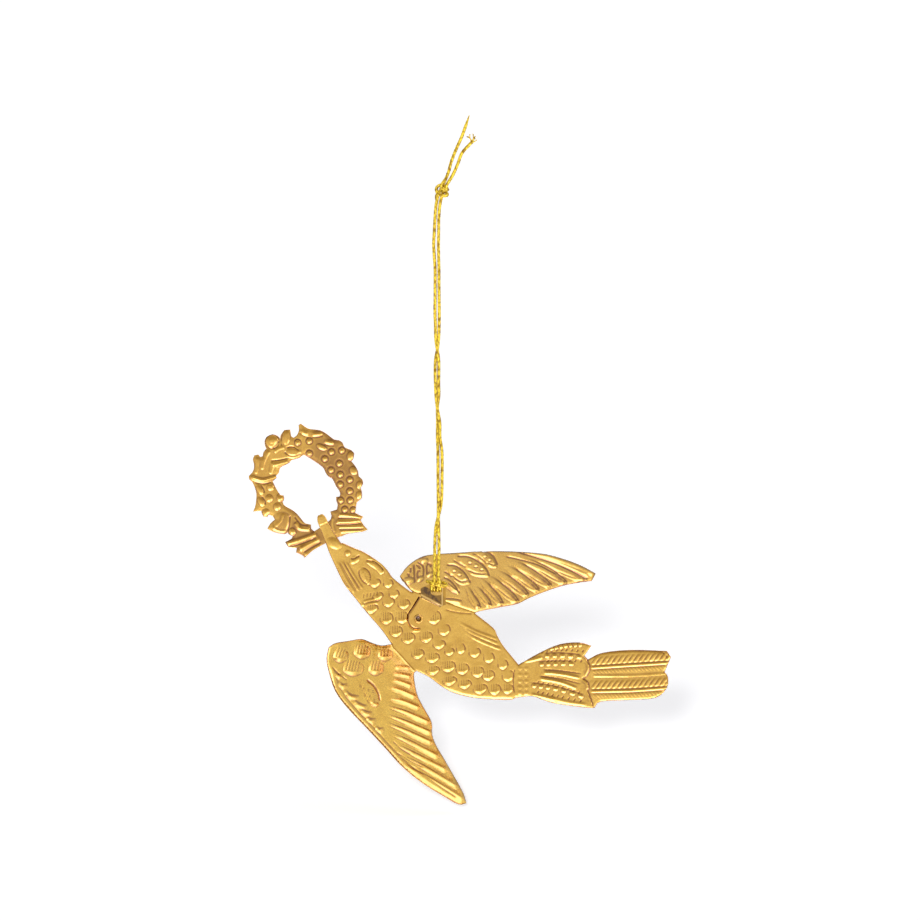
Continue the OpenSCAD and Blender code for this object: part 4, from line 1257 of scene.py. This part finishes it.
# A wrap's slant and radii, and a lead's route: its share of the lead's place along the bar, depth and height
WRAP_SLANT = 0.14
WRAP_ROUND = (1.42, 1.5)
LEAD_ROUTE = ((1.7, -1.5, 0.2), (1.5, -1.35, 1.5), (1.1, -0.6, 2.8), (1, -0.1, 3.5), (1, 0, 4))

# The braid's ridges repeat over this length, and a cord's rings lie this far apart, in metres
BRAID_PITCH = 0.0016
BRAID_DEPTH = 0.12
RING_GAP = 0.00034
CORD_RADIUS = 0.0005
KNOT_RADIUS = 0.00052
WRAP_RADIUS = 0.00046
FRAY_RADIUS = 0.00017


def rope(name, points, radius, body, node=None, sides=10, smoothed=True, tip=0.0):
    """A braided cord along points in millimetres, pointed over the length tip at its end.

    Returns the piece, its path and its length in metres.
    """
    q = (curve(points, 10) if smoothed else np.array(points)) * 0.001
    run = np.concatenate([[0], np.cumsum(np.linalg.norm(np.diff(q, axis=0), axis=1))])
    n = max(4, int(run[-1] / RING_GAP))
    at = np.linspace(0, run[-1], n)
    middle = np.stack([np.interp(at, run, q[:, k]) for k in range(3)], 1)
    along = np.gradient(middle, axis=0)
    along /= np.linalg.norm(along, axis=1)[:, None]
    side = np.cross(along[0], [0.3, 1, 0.2])
    verts = []
    for i in range(n):
        side = side - along[i] * (side @ along[i])
        side /= np.linalg.norm(side)
        over = np.cross(side, along[i])
        taper = 0.3 + 0.7 * min(1.0, (run[-1] - at[i]) / tip) if tip else 1.0
        turn = 2 * math.pi * at[i] / BRAID_PITCH
        for k in range(sides):
            a = 2 * math.pi * k / sides
            w = 1 + BRAID_DEPTH * math.cos(2 * a + turn) * math.cos(2 * a - turn)
            verts.append(middle[i] + radius * taper * w * (math.cos(a) * side + math.sin(a) * over))
    piece = new_piece(tube_mesh(name, verts, sides), THREAD, body, node)
    return piece, [tuple(v) for v in middle[::8]] + [tuple(middle[-1])], float(run[-1])


def fray_thread(k, way, size):
    """One thread of the frayed end, bowed to one side or the other."""
    turn = (-1) ** k
    bow = np.array([way[2], 0.3 * turn, -way[0]]) * 0.16 * turn
    way = np.array(way) / np.linalg.norm(way)
    points = [FRAY_START, FRAY_START + (way + bow) * size * 0.5, FRAY_START + way * size]
    return rope(f"fray_{k}", points, FRAY_RADIUS, "cord", sides=6)[0]


def hitch_wrap(k, x):
    """One turn of the cord round the bar."""
    angles = np.linspace(0, 2 * math.pi, 40)
    deep, high = WRAP_ROUND
    ring = [BAR + (x + WRAP_SLANT * math.sin(a), deep * math.sin(a), high * math.cos(a)) for a in angles]
    node = "cord_hitch" if k == 0 else None
    return rope(f"hitch_wrap_{k}", ring, WRAP_RADIUS, "hitch", node, smoothed=False)[0]


def hitch_lead(k, x):
    """A strand's way from under the bight up to where the long cord begins."""
    route = [BAR + (share * x, depth, height) for share, depth, height in LEAD_ROUTE]
    return rope(f"hitch_lead_{k}", route, CORD_RADIUS, "hitch")[0]


knot = rope("knot", KNOT, KNOT_RADIUS, "cord", "cord_knot")[0]
long_strand, long_path, long_length = rope(
    "strand_long", LONG, CORD_RADIUS, "cord", "cord_strand_long", tip=0.0035)
short_strand, short_path, short_length = rope(
    "strand_short", SHORT, CORD_RADIUS, "cord", "cord_strand_short")
frays = [fray_thread(k, way, size) for k, (*way, size) in enumerate(FRAY)]
wraps = [hitch_wrap(k, x) for k, x in enumerate(WRAPS)]
hitch_bight = rope("hitch_bight", [BAR + p for p in BIGHT], CORD_RADIUS, "hitch")[0]
leads = [hitch_lead(k, x) for k, x in enumerate(LEADS)]

# The camera sees the photograph's frame from this far away, in metres
CAMERA_AWAY = 1.2


def add_camera():
    data = bpy.data.cameras.new("camera")
    data.type = "ORTHO"
    data.ortho_scale = PHOTO_SIDE * PIXEL
    data.clip_end = 10
    camera = new_object("camera", data)
    bpy.context.scene.camera = camera
    middle = place(PHOTO_SIDE / 2, PHOTO_SIDE / 2, 0.0)
    camera.location = Vector(middle) + Vector((0, -COS_RISE, SIN_RISE)) * CAMERA_AWAY
    camera.rotation_euler = (math.pi / 2 - RISE, 0, 0)


# The room's brightness by height, from straight down at -1 to straight up at 1, before and beyond the object
BEFORE = (
    (-1, 1.3), (-0.6, 1.3), (-0.36, 1.14), (-0.2, 1), (-0.1, 0.95), (0, 0.88), (0.1, 0.76), (0.25, 0.6),
    (0.5, 0.56), (0.75, 0.75), (1, 1))
BEYOND = (
    (-1, 1.1), (0, 1), (0.1, 1), (0.25, 0.7), (0.45, 0.42), (0.62, 0.45), (0.76, 0.72), (0.86, 0.95),
    (1, 0.95))
# The soft boxes are cooler than the room, and the wide one a little green
COOL = (1.0, 0.98, 1.5)
GREEN = (0.94, 1.1, 1.05)
# Soft boxes: direction, the angle within which each is full and beyond which dark, strength and colour
SOFT_BOXES = (
    ((0.89, -0.22, 0.4), 6, 15, 1.9, COOL), ((0.82, 0.16, 0.54), 8, 30, 0.55, GREEN),
    ((0.46, -0.21, 0.86), 9, 24, 3, COOL), ((0.93, -0.36, 0.1), 6, 15, 1.8, COOL),
    ((-0.12, -0.61, -0.78), 10, 22, 4, COOL), ((0.5, -0.67, -0.55), 8, 20, 2.2, COOL))
# What lights the floor and the thread evenly
DIFFUSE_LEVEL = (0.26, 0.26, 0.26, 1)
WHITE = (1, 1, 1, 1)


def room_colour(value):
    """The room's colour at a brightness: its dim parts are warmer."""
    t = min(max((value - 0.45) / 0.6, 0), 1)
    return value, value * (0.86 + 0.14 * t), value * (0.62 + 0.38 * t), 1


def profile(n, level, stops):
    """The room's colour at a height between the stops."""
    ramp = n.add("ValToRGB", {"Fac": level})
    elements = ramp.color_ramp.elements
    elements[0].position, elements[1].position = 0.0, 1.0
    for z, _ in stops[1:-1]:
        elements.new((z + 1) / 2)
    for element, (z, value) in zip(elements, stops):
        element.position, element.color = (z + 1) / 2, room_colour(value)
    return ramp.outputs["Color"]


def add_studio():
    """A pale table below, a dim room before the object, a white backdrop beyond it, and soft boxes."""
    world = bpy.data.worlds.new("studio")
    bpy.context.scene.world = world
    world.use_nodes = True
    n = Nodes(world.node_tree)
    way = n.where("Generated")
    level = n.ranged(n.axis(way, "Z"), -1, 1)
    beyond = n.ranged(n.axis(way, "Y"), -0.5, 0.02, interpolation_type="SMOOTHSTEP")
    light = n.mixed(beyond, profile(n, level, BEFORE), profile(n, level, BEYOND))
    for direction, inner, outer, strength, colour in SOFT_BOXES:
        near = n.vector("DOT_PRODUCT", {0: way, 1: Vector(direction).normalized()}, "Value")
        full, dark = math.cos(math.radians(inner)), math.cos(math.radians(outer))
        amount = n.ranged(near, dark, full, 0, strength, interpolation_type="SMOOTHSTEP")
        light = n.vector("ADD", {0: light, 1: n.vector("SCALE", {0: colour, "Scale": amount})})
    light = n.mixed(n.ray("Is Diffuse Ray"), light, DIFFUSE_LEVEL)
    light = n.mixed(n.ray("Is Camera Ray"), light, WHITE)
    n.feed(world.node_tree.nodes["Background"], {"Color": light})


# The key light stands low before the object, so that its shadow falls on the floor behind
KEY_RISE = math.radians(15)
KEY_ANGLE = math.radians(4)
KEY_ENERGY = 2.65
KEY_LEFT = 0.05
KEY_AWAY = 1.5
KEY_AIM = Vector((0, 0, -0.15))


def add_key_light():
    key = new_object("key", bpy.data.lights.new("key", "SUN"))
    key.data.energy = KEY_ENERGY
    key.data.angle = KEY_ANGLE
    toward = Vector((-KEY_LEFT, -math.cos(KEY_RISE), math.sin(KEY_RISE)))
    key.location = KEY_AIM + toward * KEY_AWAY
    key.rotation_euler = toward.to_track_quat("Z", "Y").to_euler()
    key.visible_glossy = False


# The floor's height and corners in metres, its colour, and what the camera sees added to its light
FLOOR_Z = -0.19
FLOOR_CORNERS = ((-3, -2), (3, -2), (3, 5), (-3, 5))
FLOOR_COLOUR = (0.9, 0.9, 0.9, 1)
FLOOR_LIFT = 0.57


def add_floor():
    mesh = new_mesh("floor", [(x, y, FLOOR_Z) for x, y in FLOOR_CORNERS], [(0, 1, 2, 3)])
    floor = new_object("floor", mesh)
    floor.visible_glossy = False
    material, n, shader = new_material("pale_floor", {
        "Base Color": FLOOR_COLOUR, "Roughness": 0.9, "Specular IOR Level": 0.0, "Emission Color": WHITE})
    n.feed(shader, {"Emission Strength": n.times(n.ray("Is Camera Ray"), FLOOR_LIFT)})
    mesh.materials.append(material)


bpy.context.scene.view_settings.view_transform = "Standard"
add_camera()
add_studio()
add_key_light()
add_floor()
